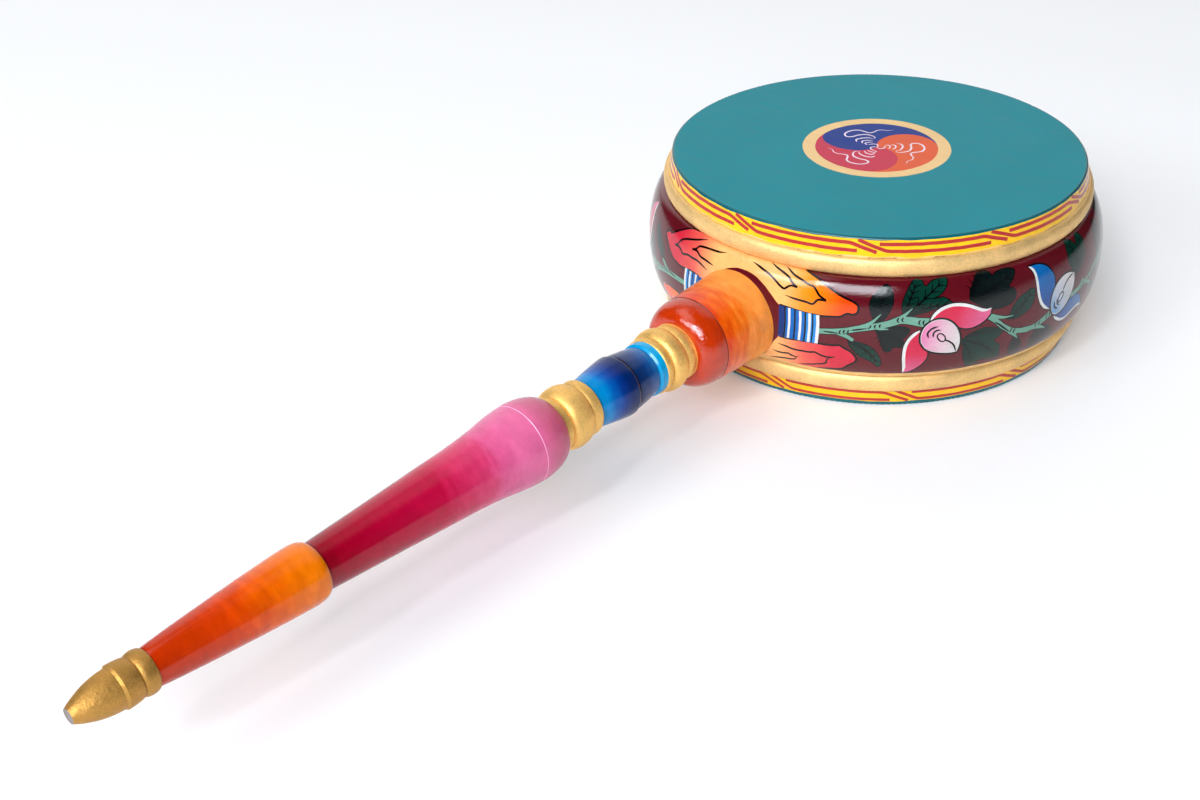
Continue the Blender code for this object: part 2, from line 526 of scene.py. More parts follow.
def turned(name, profile, finishes, columns, materials):
    """A mesh spun about Z from a profile. Finishes number the materials, one per stretch."""
    mesh = bpy.data.meshes.new(name + "_profile")
    points = [(radius, 0.0, height) for radius, height in profile]
    edges = [(index, index + 1) for index in range(len(points) - 1)]
    mesh.from_pydata(points, edges, [])
    worn = mesh.attributes.new("finish", "FLOAT", "POINT")
    worn.data.foreach_set("value", list(map(float, finishes)) + [0.0])
    thing = add_object(name + "_profile", mesh)
    spin = thing.modifiers.new("spin", "NODES")
    spin.node_group = lathe_tree(len(materials))
    inputs = {
        item.name: item.identifier
        for item in spin.node_group.interface.items_tree
        if item.in_out == "INPUT"
    }
    spin[inputs["Columns"]] = columns
    spin[inputs["Weld distance"]] = WELD
    for slot, material in enumerate(materials):
        spin[inputs[f"Finish {slot}"]] = material
    evaluated = thing.evaluated_get(bpy.context.evaluated_depsgraph_get())
    made = bpy.data.meshes.new_from_object(evaluated)
    made.name = name
    bpy.data.objects.remove(thing, do_unlink=True)
    return made


def face_outwards(mesh):
    """Turns the faces of a closed mesh outwards, and smooths all but its sharp edges."""
    shape = bmesh.new()
    shape.from_mesh(mesh)
    bmesh.ops.remove_doubles(shape, verts=shape.verts, dist=WELD)
    bmesh.ops.recalc_face_normals(shape, faces=shape.faces)
    shape.to_mesh(mesh)
    shape.free()
    mesh.shade_smooth()
    mesh.set_sharp_from_angle(angle=SHARP_ANGLE)


def joined(name, meshes):
    """One object from meshes that meet along their borders."""
    things = [add_object(name, mesh) for mesh in meshes]
    bpy.ops.object.select_all(action="DESELECT")
    for thing in things:
        thing.select_set(True)
    bpy.context.view_layer.objects.active = things[0]
    if len(things) > 1:
        bpy.ops.object.join()
    piece = things[0]
    piece.name = name
    piece.data.name = name
    face_outwards(piece.data)
    if "aim" in piece.data.attributes:
        take_aim(piece.data)
    return piece


def take_aim(mesh):
    """Gives painted faces the true normals of the surface that they lie on."""
    aim = np.zeros(len(mesh.loops) * 3)
    mesh.attributes["aim"].data.foreach_get("vector", aim)
    mesh.normals_split_custom_set(aim.reshape(-1, 3).tolist())
    mesh.attributes.remove(mesh.attributes["aim"])


# ---------------------------------------------------------------- finishes

PALE_GOLD = (236, 196, 130)
RING_GOLD = (244, 196, 112)
POINT_GOLD = (190, 142, 70)
WOOD = (186, 142, 98)
OLD_WOOD = (128, 120, 116)
HIDE = (206, 184, 146)
NOISE_RANGE = (0.3, 0.7)  # nearly all of a noise pattern lies between these


class Finish:
    """A material and the nodes that feed its shader."""

    def __init__(self, name, **values):
        self.material = bpy.data.materials.new(name)
        self.material.use_nodes = True
        self.tree = self.material.node_tree
        self.shader = self.tree.nodes["Principled BSDF"]
        for socket, value in values.items():
            self.shader.inputs[socket.replace("_", " ")].default_value = value

    def node(self, kind, links=(), output=0, **settings):
        """One output of a new node."""
        return add_node(self.tree, kind, links, **settings).outputs[output]

    def maths(self, operation, *terms):
        return self.node("ShaderNodeMath", enumerate(terms), operation=operation)

    def place(self):
        return self.node("ShaderNodeTexCoord", output="Object")

    def paint(self):
        """The colours painted on the mesh."""
        return self.node("ShaderNodeVertexColor", output="Color", layer_name="paint")

    def speckle(self, scale, detail, stretch=None, roughness=0.55):
        """Fine noise on the object's coordinates, which may be scaled along each axis first."""
        place = self.place()
        if stretch:
            links = [("Vector", place), ("Scale", stretch)]
            place = self.node("ShaderNodeMapping", links)
        links = [("Vector", place), ("Scale", scale), ("Detail", detail), ("Roughness", roughness)]
        return self.node("ShaderNodeTexNoise", links)

    def spread(self, pattern, low, high):
        """A noise pattern brought to another range."""
        links = enumerate((pattern, *NOISE_RANGE, low, high))
        return self.node("ShaderNodeMapRange", links)

    def colour(self, base, *layers):
        """Sets a colour that noise makes darker and lighter, by layers of (pattern, low, high)."""
        factors = [self.spread(*layer) for layer in layers]
        amount = factors[0]
        for factor in factors[1:]:
            amount = self.maths("MULTIPLY", amount, factor)
        links = [(0, base), ("Scale", amount)]
        toned = self.node("ShaderNodeVectorMath", links, operation="SCALE")
        self.tree.links.new(toned, self.shader.inputs["Base Color"])

    def roughness(self, pattern, low, high):
        self.tree.links.new(self.spread(pattern, low, high), self.shader.inputs["Roughness"])

    def bump(self, *layers):
        """Raises the surface by layers of (height, strength, distance)."""
        normal = None
        for height, strength, distance in layers:
            links = [("Height", height), ("Strength", strength), ("Distance", distance)]
            if normal:
                links.append(("Normal", normal))
            normal = self.node("ShaderNodeBump", links)
        self.tree.links.new(normal, self.shader.inputs["Normal"])


def painted_lacquer(name, roughness):
    """Paint from the mesh's paint attribute, under a varnish brushed on round the drum."""
    finish = Finish(name, IOR=1.45)
    cloud = finish.speckle(scale=55.0, detail=4.0)
    streak = finish.speckle(scale=160.0, detail=3.0, stretch=(1.0, 1.0, 4.0))
    finish.colour(finish.paint(), (cloud, 0.92, 1.06), (streak, 0.94, 1.06))
    finish.roughness(cloud, roughness * 0.8, roughness * 1.3)
    brushed = finish.speckle(scale=300.0, detail=3.0, stretch=(1.0, 1.0, 3.0), roughness=0.6)
    finish.bump((cloud, 0.10, 0.0012), (brushed, 0.6, 0.00016))
    return finish.material


def painted_skin(name):
    """Matt body colour brushed on stretched skin, from the mesh's paint attribute."""
    finish = Finish(name, IOR=1.22)
    cloud = finish.speckle(scale=12.0, detail=5.0)
    brushed = finish.speckle(scale=170.0, detail=4.0, stretch=(0.25, 1.0, 1.0))
    finish.colour(finish.paint(), (cloud, 0.96, 1.04), (brushed, 0.95, 1.05))
    finish.roughness(brushed, 0.5, 0.62)
    finish.bump((cloud, 0.08, 0.002), (brushed, 0.3, 0.0004))
    return finish.material


def gold_paint(name, colour, metallic, dimples):
    """Bronze-powder gold, brushed on so that it shines softly and unevenly."""
    finish = Finish(name, Metallic=metallic, IOR=1.45)
    cloud = finish.speckle(scale=60.0, detail=4.0)
    grain = finish.speckle(scale=800.0, detail=3.0)
    blobs = finish.speckle(scale=240.0, detail=3.0)
    finish.colour(linear(*colour), (cloud, 0.84, 1.08), (grain, 0.86, 1.14))
    finish.roughness(cloud, 0.46, 0.6)
    finish.bump((blobs, dimples, 0.0012), (grain, 0.4, 0.0003))
    return finish.material


def plain_wood(name, colour):
    """Unpainted wood, with its grain along Z."""
    finish = Finish(name, IOR=1.45)
    grain = finish.speckle(scale=160.0, detail=4.0, stretch=(1.0, 1.0, 0.08))
    finish.colour(linear(*colour), (grain, 0.78, 1.12))
    finish.roughness(grain, 0.6, 0.75)
    finish.bump((grain, 0.2, 0.0005))
    return finish.material


def rawhide(name):
    """The bare inner side of a head."""
    finish = Finish(name, IOR=1.4)
    cloud = finish.speckle(scale=30.0, detail=6.0)
    finish.colour(linear(*HIDE), (cloud, 0.8, 1.1))
    finish.roughness(cloud, 0.55, 0.7)
    finish.bump((cloud, 0.2, 0.0008))
    return finish.material


def paper(name, colour, unevenness, roughness, scale, glow):
    """Matt paper that gives a little light of its own."""
    white = (1.0, 1.0, 1.0, 1.0)
    finish = Finish(
        name, IOR=1.3, Roughness=roughness, Emission_Color=white, Emission_Strength=glow
    )
    cloud = finish.speckle(scale=scale, detail=2.0)
    finish.colour(colour, (cloud, 1 - unevenness, 1 + unevenness))
    return finish.material


# ---------------------------------------------------------------- the belly's picture

GOLD_LINE_TOP = -38.2
GOLD_LINE_WAVE = 0.5
VINE_REPEAT = 231.0
# How shapes are flipped and shifted: the right half lies as it is drawn. On the left the same
# shapes are turned half round about the handle, and the vine is stretched a little as well.
RIGHT_HALF = ((1, 1), (0, 0))
LEFT_VINE = ((-1.08, -1), (13.0, 2.0))
LEFT_CUFF = ((-1, -1), (17.5, 5.0))
LEFT_LOBE = ((-1, -1), (3.0, 1.5))

# Widths of the ink lines, in millimetres
LOBE_LINE = 1.8
LEAF_LINE = 0.8
MIDRIB_LINE = 1.5
VEIN_LINE = 1.0
STEM_LINE = 1.3
STEM_EDGES = (1.4, 1.2)  # both edges of a stem together, at its start and at its end
PETAL_LINE = 0.8
PETAL_BACK_LINE = 1.4
MIDDLE_PETAL_LINE = 1.6
CURL_LINE = 1.2

# Lobes beside the handle. Widths go round the belly from the handle's axis, and heights up from
# its widest line. Each lobe has its hidden inner corners, how its paint runs, its free edge and
# the lines drawn in it.
ORANGE_LOBE = {
    "inner": ((-4, 15), (-4, 49.9)),
    "stops": ((0, "peach"), (0.42, "peach"), (0.62, "amber"), (1, "orange")),
    "run": ((10, 34), (92, 26)),
    "edge": (
        (58, 49.9), (62, 47.4), (70, 43.4), (78, 38.8), (84, 35.4), (90, 32.2), (95.5, 30),
        (100, 28), (102.8, 26.2), (103.6, 23.4), (102.4, 19.6), (99, 18.3), (96, 18.8),
        (93, 17.4), (91, 15.8), (85, 15.0), (75, 14.4), (62, 15.0), (50, 16.5), (42, 17.4),
    ),
    "lines": (
        ((27, 49.4), (33, 46.2), (45, 41.2), (50, 36.8), (54.5, 33.8)),
        ((54.5, 33.8), (49, 34.4), (44, 30.6)),
        ((44, 30.6), (40, 32.6), (36, 35.2), (29, 39.2), (20, 42.4), (11, 45)),
        ((41, 49.2), (50, 43.2), (57, 40.3), (62, 38.2), (67.5, 37)),
        ((67.5, 37), (70, 34), (73, 30.3), (78.5, 27.3)),
        ((78.5, 27.3), (72, 27), (68.5, 23.2), (62, 24), (55, 24.6), (46, 26)),
    ),
}
RED_LOBE = {
    "inner": ((-4, -45), (-4, -10)),
    "stops": ((0, "peach"), (0.5, "coral"), (1, "scarlet")),
    "run": ((40, -22), (84, -20)),
    "edge": (
        (43, -10.6), (50, -11), (60, -10.5), (70, -10.1), (80, -10.5), (87, -10.2), (91, -9.6),
        (94, -11.6), (98, -13.6), (101.2, -16.2), (104, -20.6), (104, -24), (101.5, -27),
        (98, -29.6), (96, -32.2), (93, -34.6), (88, -35.6), (80, -36.8), (70, -39.5),
    ),
    "lines": (
        ((41.5, -18.2), (48, -19), (54, -20.6), (62, -20.6), (68, -20.4), (71.5, -19.3)),
        ((71.5, -19.3), (76, -21.6), (80, -22.6), (84, -23), (88, -21.6)),
        ((84, -23), (81.6, -25.5), (80.5, -30), (72, -33.2), (57, -37.5)),
        ((36.5, -26.5), (41, -27.2), (46, -27.2), (50, -26.4), (54, -28.4), (59, -28)),
        ((57, -28.4), (55, -31.6), (45, -33.6), (32, -36.2)),
    ),
}
LEFT_RED_LOBE = {
    "inner": ((4, 15), (4, 49.9)),
    "stops": ((0, "peach"), (0.5, "coral"), (1, "scarlet")),
    "run": ((-24, 36), (-70, 30)),
    "edge": (
        (-57, 49.9), (-64.6, 48.4), (-71, 45), (-78, 40), (-86, 34.8), (-88.5, 33.2),
        (-92.5, 33.8), (-95, 31.6), (-97.8, 30), (-95.5, 27.4), (-91, 24.6), (-84, 19.2),
        (-77, 15.4), (-66, 13.8), (-58.4, 14.4), (-50, 16), (-38, 15.4),
    ),
    "lines": (
        ((-41, 47), (-50, 43.2), (-58, 40), (-64, 38), (-70.5, 34.4), (-72.5, 32)),
        ((-72.5, 32), (-73.6, 29.4), (-77.5, 27.2), (-72, 28), (-67.5, 27), (-64, 24.6)),
        ((-64, 24.6), (-57, 26.8), (-50, 27), (-42, 27), (-30, 24)),
        ((-16, 44), (-24, 42), (-32, 41.2), (-40, 40), (-46, 38.6), (-48.6, 35.4), (-53, 33.5)),
        ((-53, 33.5), (-47, 34.2), (-42, 32), (-38, 31.4), (-32, 31), (-24, 30)),
    ),
}
LOBES = (
    (LEFT_LOBE, ORANGE_LOBE),
    (RIGHT_HALF, LEFT_RED_LOBE),
    (RIGHT_HALF, ORANGE_LOBE),
    (RIGHT_HALF, RED_LOBE),
)
LOBE_TAPER = 0.25
# The bare ring of lacquer that the painter left round the cup
CUP_RING = (
    (-15, 29.5), (-8, 33.6), (0, 36.2), (10, 36.4), (19, 34.2), (28, 29), (33.8, 24.2),
    (38.8, 19.2), (41.6, 16.6), (42.6, 4), (42.4, -10), (38, -17.5), (34, -25), (29, -34),
    (16, -44), (0, -46.5), (-18, -43), (-33, -30), (-39, -10), (-37.5, 8), (-33, 14.5),
    (-24, 22.5), (-15, 29.5),
)
CUFF_START = 41.4
CUFF_BOTTOM = -10.6
CUFF_TOP = 16.8
CUFF_TOP_END = 14.4
# The stripes bow outwards by this much, most at this height, along a cosine of this many radians
# to the millimetre
CUFF_BOW = 0.9
CUFF_MIDDLE = 3.0
CUFF_BEND = 0.1
CUFF_POINTS = 9
STRIPE_OVERLAP = 0.1
# Widths of the cuff's stripes, from the cup outwards, and their paint
CUFF_STRIPES = (
    (4.6, "navy"), (1.3, "ink"), (1.8, "cobalt"), (1.9, "white"), (3.0, "cobalt"), (1.4, "ink"),
    (2.6, "cobalt"), (1.9, "white"), (2.4, "cobalt"), (1.4, "ink"), (1.6, "sky"), (2.0, "white"),
    (0.9, "sky"), (1.2, "ink"), (2.1, "sky"), (2.3, "white"),
)

# The vine. Each leaf has its paint, its edge and, for each of its lobes, the midrib's root and tip,
# how far its veins reach and how much it bends.
LEAVES = (
    (
        "leaf",
        ((97, -4), (105, -5), (113, -8), (119, -14), (123, -22), (123, -27), (121, -29.5),
         (118, -26), (113, -22), (107, -19), (102, -14), (98, -8)),
        (((96, -4), (122, -29.5), 9.5, 4.5),),
    ),
    (
        "dark_leaf",
        ((119, 10), (115.5, 14), (113, 20), (111.5, 27), (113, 33), (117, 38), (121, 42),
         (124, 43.5), (127, 41), (129, 36), (129.5, 30), (127, 22), (122, 14)),
        (((118.5, 11), (123.5, 43.8), 18, 0.5),),
    ),
    (
        "leaf",
        ((137, 19), (136, 28), (139, 37), (143, 44), (147, 48), (152, 46), (154, 41.5),
         (160, 45.5), (168, 47.5), (172, 47), (171, 40), (166, 34), (160, 31.4), (168, 32),
         (174, 28), (176, 25), (166, 24), (158, 22), (150, 20), (140, 18)),
        (((139, 19), (148.5, 47), 15, 1.0), ((140, 19), (172, 46.5), 15, 1.0),
         ((142, 19.5), (176, 25.5), 12, 2.5)),
    ),
    (
        "dark_leaf",
        ((117, 6), (120, 0), (122, -6), (126, -13.5), (130, -12), (131, -9), (138, -9),
         (141, -6), (138, -2), (141, 2), (143, 7), (138, 9.5), (130, 10), (124, 8)),
        (((119, 7), (126.5, -12.6), 9, -1.5), ((120, 7.5), (140, -7.5), 10, 1.0),
         ((122, 8), (142.5, 6.8), 7, 1.5)),
    ),
    (
        "dark_leaf",
        ((189, 27), (190, 35), (194, 42), (198, 47), (204, 49), (209, 46), (210.5, 43),
         (215, 45), (225, 46), (232, 43), (229, 37), (224, 31), (228, 29), (230, 24),
         (228, 19), (220, 16), (210, 16), (200, 20)),
        (((190, 27), (204, 48), 19, 3.0), ((191, 26.5), (231, 42.5), 20, -1.0),
         ((193, 25.5), (229, 23.5), 14, 1.0)),
    ),
    (
        "leaf",
        ((184, -6), (190, -2), (200, 1.5), (210, 0), (219, -4), (217, -9), (212.5, -13),
         (218, -18), (220, -25), (221, -33), (213, -33), (205, -31), (197, -37), (192, -33),
         (188, -24), (186, -14)),
        (((185, -6), (218, -4.5), 13, 3.0), ((185, -6.5), (220, -32), 17, 3.5),
         ((185, -8), (197.5, -36), 15, 2.0)),
    ),
    (
        "leaf",
        ((222, 4), (227, 14), (233, 20), (240, 22.5), (246, 24), (249, 22), (248, 14),
         (244, 8), (236, 4), (228, 3)),
        (((223, 4.5), (248, 23), 15, -1.0),),
    ),
    (
        "dark_leaf",
        ((231, -13), (237, -17), (241, -24), (242.5, -31), (240, -36), (235, -36),
         (231, -31), (229, -22)),
        (((232, -14), (238, -35), 12, 2.0),),
    ),
    (
        "dark_leaf",
        ((255, -14), (260, -13.4), (268, -16), (275, -22), (279.6, -31), (277, -36),
         (268, -33), (262, -32), (257, -37.4), (252, -33), (250.4, -24)),
        (((256, -15), (255.5, -35.5), 13, 1.0), ((257, -15), (278, -34), 15, 2.0)),
    ),
    (
        "leaf",
        ((303, 16), (296, 23), (292.6, 32), (294, 42), (298.6, 48.4), (305, 45), (308.4, 40),
         (313, 45.4), (319, 47), (322, 40), (320, 30), (313, 21)),
        (((303.5, 17), (298, 47), 15, -2.0), ((304.5, 17), (319, 46), 15, 2.0)),
    ),
)
STEMS = (  # path, width, width at its end
    (((88, 2.5), (95, -0.4), (101.2, -3.8)), 4.0, 2.6),
    (((106, 8), (113, 12), (120.5, 19.8)), 4.0, 0.7),
    (((116, 9), (121, 7.6), (126.8, 7.4)), 3.4, 0.8),
    (
        ((64, 0.4), (74.6, 1.3), (84, 2.2), (95, 4.3), (104, 6.8), (114, 8.8), (124, 11.3),
         (132, 13.8)),
        4.2, 5.4,
    ),
    (((130, 13.4), (136, 15), (143, 14.4), (150, 13), (158, 11.8)), 5.2, 7.6),
    (((130, 13.6), (137, 18.2), (144, 24.4)), 5.0, 0.5),
    (((206, 10.6), (213, 8.4), (220, 6.6), (227.6, 6.2)), 4.6, 0.5),
    (((205.5, 10), (212, 5.2), (219, -1.5), (227, -7), (236, -10.2), (246, -11.8)), 3.6, 5.0),
    (((226, -7.2), (230.6, -11.4), (235.6, -17.4)), 5.4, 0.6),
    (((244, -11.6), (254, -11), (262, -7.8), (271, -4.4)), 4.6, 6.0),
    (((252, -11.4), (259, -14.6), (266, -18.2)), 5.0, 0.6),
    (((303.4, -0.4), (309, 3), (316, 6.6)), 3.0, 4.4),
)
STEM_INK = (
    ((78, 1.6), (86, 1.4), (91, 1.2)),
    ((99, 5), (106, 6.4), (111, 7.6)),
    ((91.5, 4.6), (90.4, 2.6), (91.4, 0.4)), ((94.6, 5), (93.4, 3), (94.4, 0.8)),
    ((97.4, 5.2), (96.6, 3.4), (97.2, 1.6)),
    ((113.6, 10.6), (113.2, 8.6), (111.4, 7)), ((117.4, 11), (116.4, 9.4), (116.8, 7.4)),
    ((121, 11.6), (120, 10), (120.4, 8)),
    ((134, 17.4), (133, 15), (134.4, 12.8)), ((137.6, 17.6), (136.4, 15.4), (137.6, 13.2)),
    ((150.6, 15), (149.4, 12.6), (150.8, 10.2)), ((153.6, 14.6), (152.6, 12.4), (153.8, 10.2)),
    ((213, 3.2), (220, -3.2), (227, -8.8)), ((211, 4.6), (216, 0.6), (221, -3)),
    ((229, -4.8), (227, -7), (227.4, -9.4)), ((232, -6.6), (229.8, -8.6), (230.4, -11)),
    ((254, -8.6), (252.6, -11), (253.6, -13.4)), ((257.6, -8), (256.4, -10.2), (257.4, -12.6)),
    ((265, -4.2), (263.6, -6.6), (265, -9)), ((268.4, -3), (267.2, -5.2), (268.6, -7.6)),
)
# Petals: the edge with the white rim, the other edge back to the root, and how the paint runs
PINK_SIDE_PETALS = (
    (
        ((157, 13.2), (160, 19.4), (166, 24), (174, 26.4), (182, 26), (190, 23.6), (197, 20.2),
         (203, 17.9), (208.2, 18.2)),
        ((208.2, 18.2), (207, 12.6), (203, 8), (196.5, 4.3), (189, 3), (181, 5), (170, 11),
         (157, 13.2)),
        ((168, 21), (198, 6)),
    ),
    (
        ((151, 6.6), (145.4, 3.6), (141, -2), (138.7, -9), (138.5, -18), (139.6, -28),
         (140.8, -37.6)),
        ((140.8, -37.6), (147, -35.2), (153, -30), (157.2, -24), (158.9, -17), (157, -9),
         (151, 6.6)),
        ((148, -6), (149, -34)),
    ),
)
PINK_MIDDLE_PETAL = (
    ((151.2, -5), (150.8, 2), (154, 9.6), (160, 14), (167, 14.8), (174, 12.2), (179.6, 6),
     (182.8, -2), (183.6, -9.5), (182, -17.4)),
    ((182, -17.4), (177, -18), (169.5, -17.2), (162, -15.4), (155.4, -11.6), (151.2, -5)),
    ((153, 1), (181, -6)),
)
PINK_EYE = (
    (((157.6, -1.6), (156.6, 3), (159.6, 6.8), (165, 8.2)), 1.6),
    (((161.2, -1), (161.2, 3), (163.6, 5), (167, 4.8)), 1.5),
    (((169.8, -4), (173.8, -6), (178, -10), (180.8, -17)), 1.5),
)
BLUE_SIDE_PETALS = (
    (
        ((245, 42.2), (248.8, 35.6), (250.2, 27), (251.2, 18), (253.8, 9), (259, 2.4),
         (266.6, -1.4)),
        ((266.6, -1.4), (268.4, 8), (271.6, 15), (272.4, 24), (269.6, 31.6), (264, 37.8),
         (256, 41.4), (245, 42.2)),
        ((256, 38), (262, 6)),
    ),
    (
        ((320, -21), (314, -18.4), (308, -18), (300, -20), (292, -21.6), (284, -19.6),
         (277, -15), (272.6, -9.6)),
        ((272.6, -9.6), (284, -9), (291, -4), (297, -1), (304, -1.4), (311, -5.4), (317, -13.5),
         (320, -21)),
        ((316, -8), (284, -15)),
    ),
)
BLUE_MIDDLE_PETAL = (
    ((268.4, -3), (266.9, 4), (268.6, 12), (273, 18), (280, 22.4), (289, 23.2), (299.4, 20.2)),
    ((299.4, 20.2), (299.4, 13), (297, 5), (292.4, -2.6), (286, -8), (278, -10.4),
     (271.6, -7.8), (268.4, -3)),
    ((270, -4), (293, 15)),
)
BLUE_EYE = (
    (((271.8, 4), (272.6, -1), (277.4, -4.4)), 1.5),
    (((275.2, 4.8), (275.8, 0.6), (279.4, -1.6)), 1.4),
    (((282.2, 9.6), (285.6, 14.6), (290.6, 17.8), (298.4, 19.8)), 1.4),
)
# Each flower has its side petals and their paint, its middle petal and its paint, the curl in it
# (centre, half length, half width, tilt) and its eye. A paint has the colours at the root and at
# the end, how much of the change is done early, and the share of the way by which it is done.
FLOWERS = (
    (
        PINK_SIDE_PETALS, ("rose", "pink", 0.0, 0.35),
        PINK_MIDDLE_PETAL, ("blush", "cream", 0.6, 0.55),
        ((167.6, -1.8), 4.3, 2.6, -52), PINK_EYE,
    ),
    (
        BLUE_SIDE_PETALS, ("blue", "deep_blue", 0.0, 0.3),
        BLUE_MIDDLE_PETAL, ("pale_blue", "cream", 0.65, 0.4),
        ((279.6, 5.2), 4.3, 2.5, 52), BLUE_EYE,
    ),
)
# Two more leaves fill the gap where the vine from each side ends: which leaf, and how far on
CLOSING_LEAVES = ((2, (411, -11)), (5, (366, 2)))

LEAF_SHADE = (0.7, 1.5)  # how dark a leaf is at its root, and how light at its tip
# A midrib's points, those from which veins leave, and how a vein runs: on towards the tip in steps
# of the midrib, and outwards as a share of the lobe's breadth, with its bend at these shares
RIB_POINTS = 18
VEINS_AT = (4, 7, 10, 13)
VEIN_ON = 2.6
VEIN_OUT = 0.36
VEIN_BEND_ON = 0.6
VEIN_BEND_OUT = 0.45
# The white rim of a petal: its depth, the shares of that at its start and its end, and how fast it
# grows from there
RIM_DEPTH = 2.9
RIM_START = 0.35
RIM_START_GROWTH = 7
RIM_END = 0.25
RIM_END_GROWTH = 5
MIDDLE_PETAL_INSET = 0.93


def bowed(root, tip, bow):
    """Points from root to tip along a shallow bow."""
    root, tip = np.array(root, float), np.array(tip, float)
    along = np.linspace(0, 1, RIB_POINTS)[:, None]
    run = tip - root
    side = np.array([-run[1], run[0]]) / np.linalg.norm(run)
    return root + along * run + np.sin(np.pi * along) * bow * side


def ink_veins(picture, colours, root, tip, breadth, bow):
    """The midrib of one lobe of a leaf, and the veins that leave it in pairs."""
    rib = bowed(root, tip, bow)
    picture.stroke(rib[1:-1], MIDRIB_LINE, colours.ink, taper=(0.0, 0.6))
    side = sideways(rib)
    for index in VEINS_AT:
        start = rib[index]
        onward = (rib[index + 1] - start) * VEIN_ON
        for way in (-1, 1):
            reach = side[index] * way * breadth * VEIN_OUT
            bend = start + reach * VEIN_BEND_OUT + onward * VEIN_BEND_ON
            path = (start, bend, start + reach + onward)
            picture.stroke(path, VEIN_LINE, colours.ink, taper=(0.0, 0.7))


def paint_leaf(picture, colours, paint, edge, lobes):
    body = np.array(getattr(colours, paint))
    root = lobes[0][0]
    tip = lobes[len(lobes) // 2][1]
    closed = edge + edge[:1]
    stops = [(share, body * shade) for share, shade in enumerate(LEAF_SHADE)]
    picture.fill(curve(closed)[:-1], fade(stops, root, tip))
    picture.stroke(closed, LEAF_LINE, colours.ink)
    for lobe in lobes:
        ink_veins(picture, colours, *lobe)


def paint_lobe(picture, lobe, colours):
    stops = [(share, getattr(colours, paint)) for share, paint in lobe["stops"]]
    ring = np.vstack([curve(lobe["edge"]), lobe["inner"]])
    picture.fill(ring, fade(stops, *lobe["run"]))


def ink_lobe(picture, lobe, colours):
    """The lobe's outline and inner lines. A line thins only at an end that meets no other."""
    picture.stroke(lobe["edge"], LOBE_LINE, colours.ink)
    ends = [end for line in lobe["lines"] for end in (line[0], line[-1])]
    for line in lobe["lines"]:
        taper = [LOBE_TAPER if ends.count(end) == 1 else 0.0 for end in (line[0], line[-1])]
        picture.stroke(line, LOBE_LINE, colours.ink, taper=taper)


def paint_cuff(picture, colours):
    """The striped cuff between two lobes."""
    start = CUFF_START
    total = sum(width for width, _ in CUFF_STRIPES)
    for width, paint in CUFF_STRIPES:
        share = (start - CUFF_START) / total
        top = CUFF_TOP + (CUFF_TOP_END - CUFF_TOP) * share
        heights = np.linspace(CUFF_BOTTOM, top, CUFF_POINTS)
        bow = CUFF_BOW * np.cos((heights - CUFF_MIDDLE) * CUFF_BEND)
        left = np.stack([start + bow, heights], axis=1)
        right = left + (width + STRIPE_OVERLAP, 0)
        picture.fill(np.vstack([left, right[::-1]]), getattr(colours, paint))
        start += width


def paint_petal(picture, petal, stops, colours):
    """A side petal with a white rim along one edge."""
    rimmed, back, (start, end) = petal
    ring = outline(rimmed, back)
    picture.fill(ring, fade(stops, start, end))
    rim = curve(rimmed)
    half_way = len(rim) // 2
    inward = sideways(rim)
    if (ring.mean(axis=0) - rim[half_way]) @ inward[half_way] < 0:
        inward = -inward
    share = np.linspace(0, 1, len(rim))[:, None]
    growing = RIM_START + share * RIM_START_GROWTH
    fading = RIM_END + (1 - share) * RIM_END_GROWTH
    depth = RIM_DEPTH * np.clip(np.minimum(growing, fading), 0, 1)
    picture.fill(np.vstack([rim, (rim + inward * depth)[::-1]]), colours.white)
    picture.stroke(rimmed, PETAL_LINE, colours.ink)
    picture.stroke(back, PETAL_BACK_LINE, colours.ink)


def paint_middle_petal(picture, petal, stops, curl, eye, colours):
    """The middle petal with its pale rim, and the curl and the eye drawn in it."""
    top, bottom, (start, end) = petal
    ring = outline(top, bottom)
    picture.fill(ring, colours.white)
    middle = ring.mean(axis=0)
    inner = middle + (ring - middle) * MIDDLE_PETAL_INSET
    picture.fill(inner, fade(stops, start, end))
    for edge in (top, bottom):
        picture.stroke(edge, MIDDLE_PETAL_LINE, colours.ink)
    picture.fill(ribbon(ellipse(*curl), CURL_LINE), colours.ink)
    for line, width in eye:
        picture.stroke(line, width, colours.ink, taper=(0.15, 0.25))


def changing(colours, root, end, done, share):
    """Stops from one colour to another, some of the change being done by a share of the way."""
    root = np.array(getattr(colours, root))
    end = np.array(getattr(colours, end))
    return [(0, root), (share, root * (1 - done) + end * done), (1, end)]


def paint_flower(picture, colours, side_petals, side_paint, petal, paint, curl, eye):
    stops = changing(colours, *side_paint)
    for side_petal in side_petals:
        paint_petal(picture, side_petal, stops, colours)
    paint_middle_petal(picture, petal, changing(colours, *paint), curl, eye, colours)


def paint_vine(picture, colours):
    """One length of the vine: leaves, stems, a pink flower and a blue one."""
    for leaf in LEAVES:
        paint_leaf(picture, colours, *leaf)
    start_edges, end_edges = STEM_EDGES
    for path, width, end_width in STEMS:
        end_width = end_width + end_edges
        picture.stroke(path, width + start_edges, colours.ink, end_width=end_width)
    for path, width, end_width in STEMS:
        picture.stroke(path, width, colours.stem, end_width=end_width)
    for line in STEM_INK:
        picture.stroke(line, STEM_LINE, colours.ink, taper=(0.2, 0.4))
    for flower in FLOWERS:
        paint_flower(picture, colours, *flower)


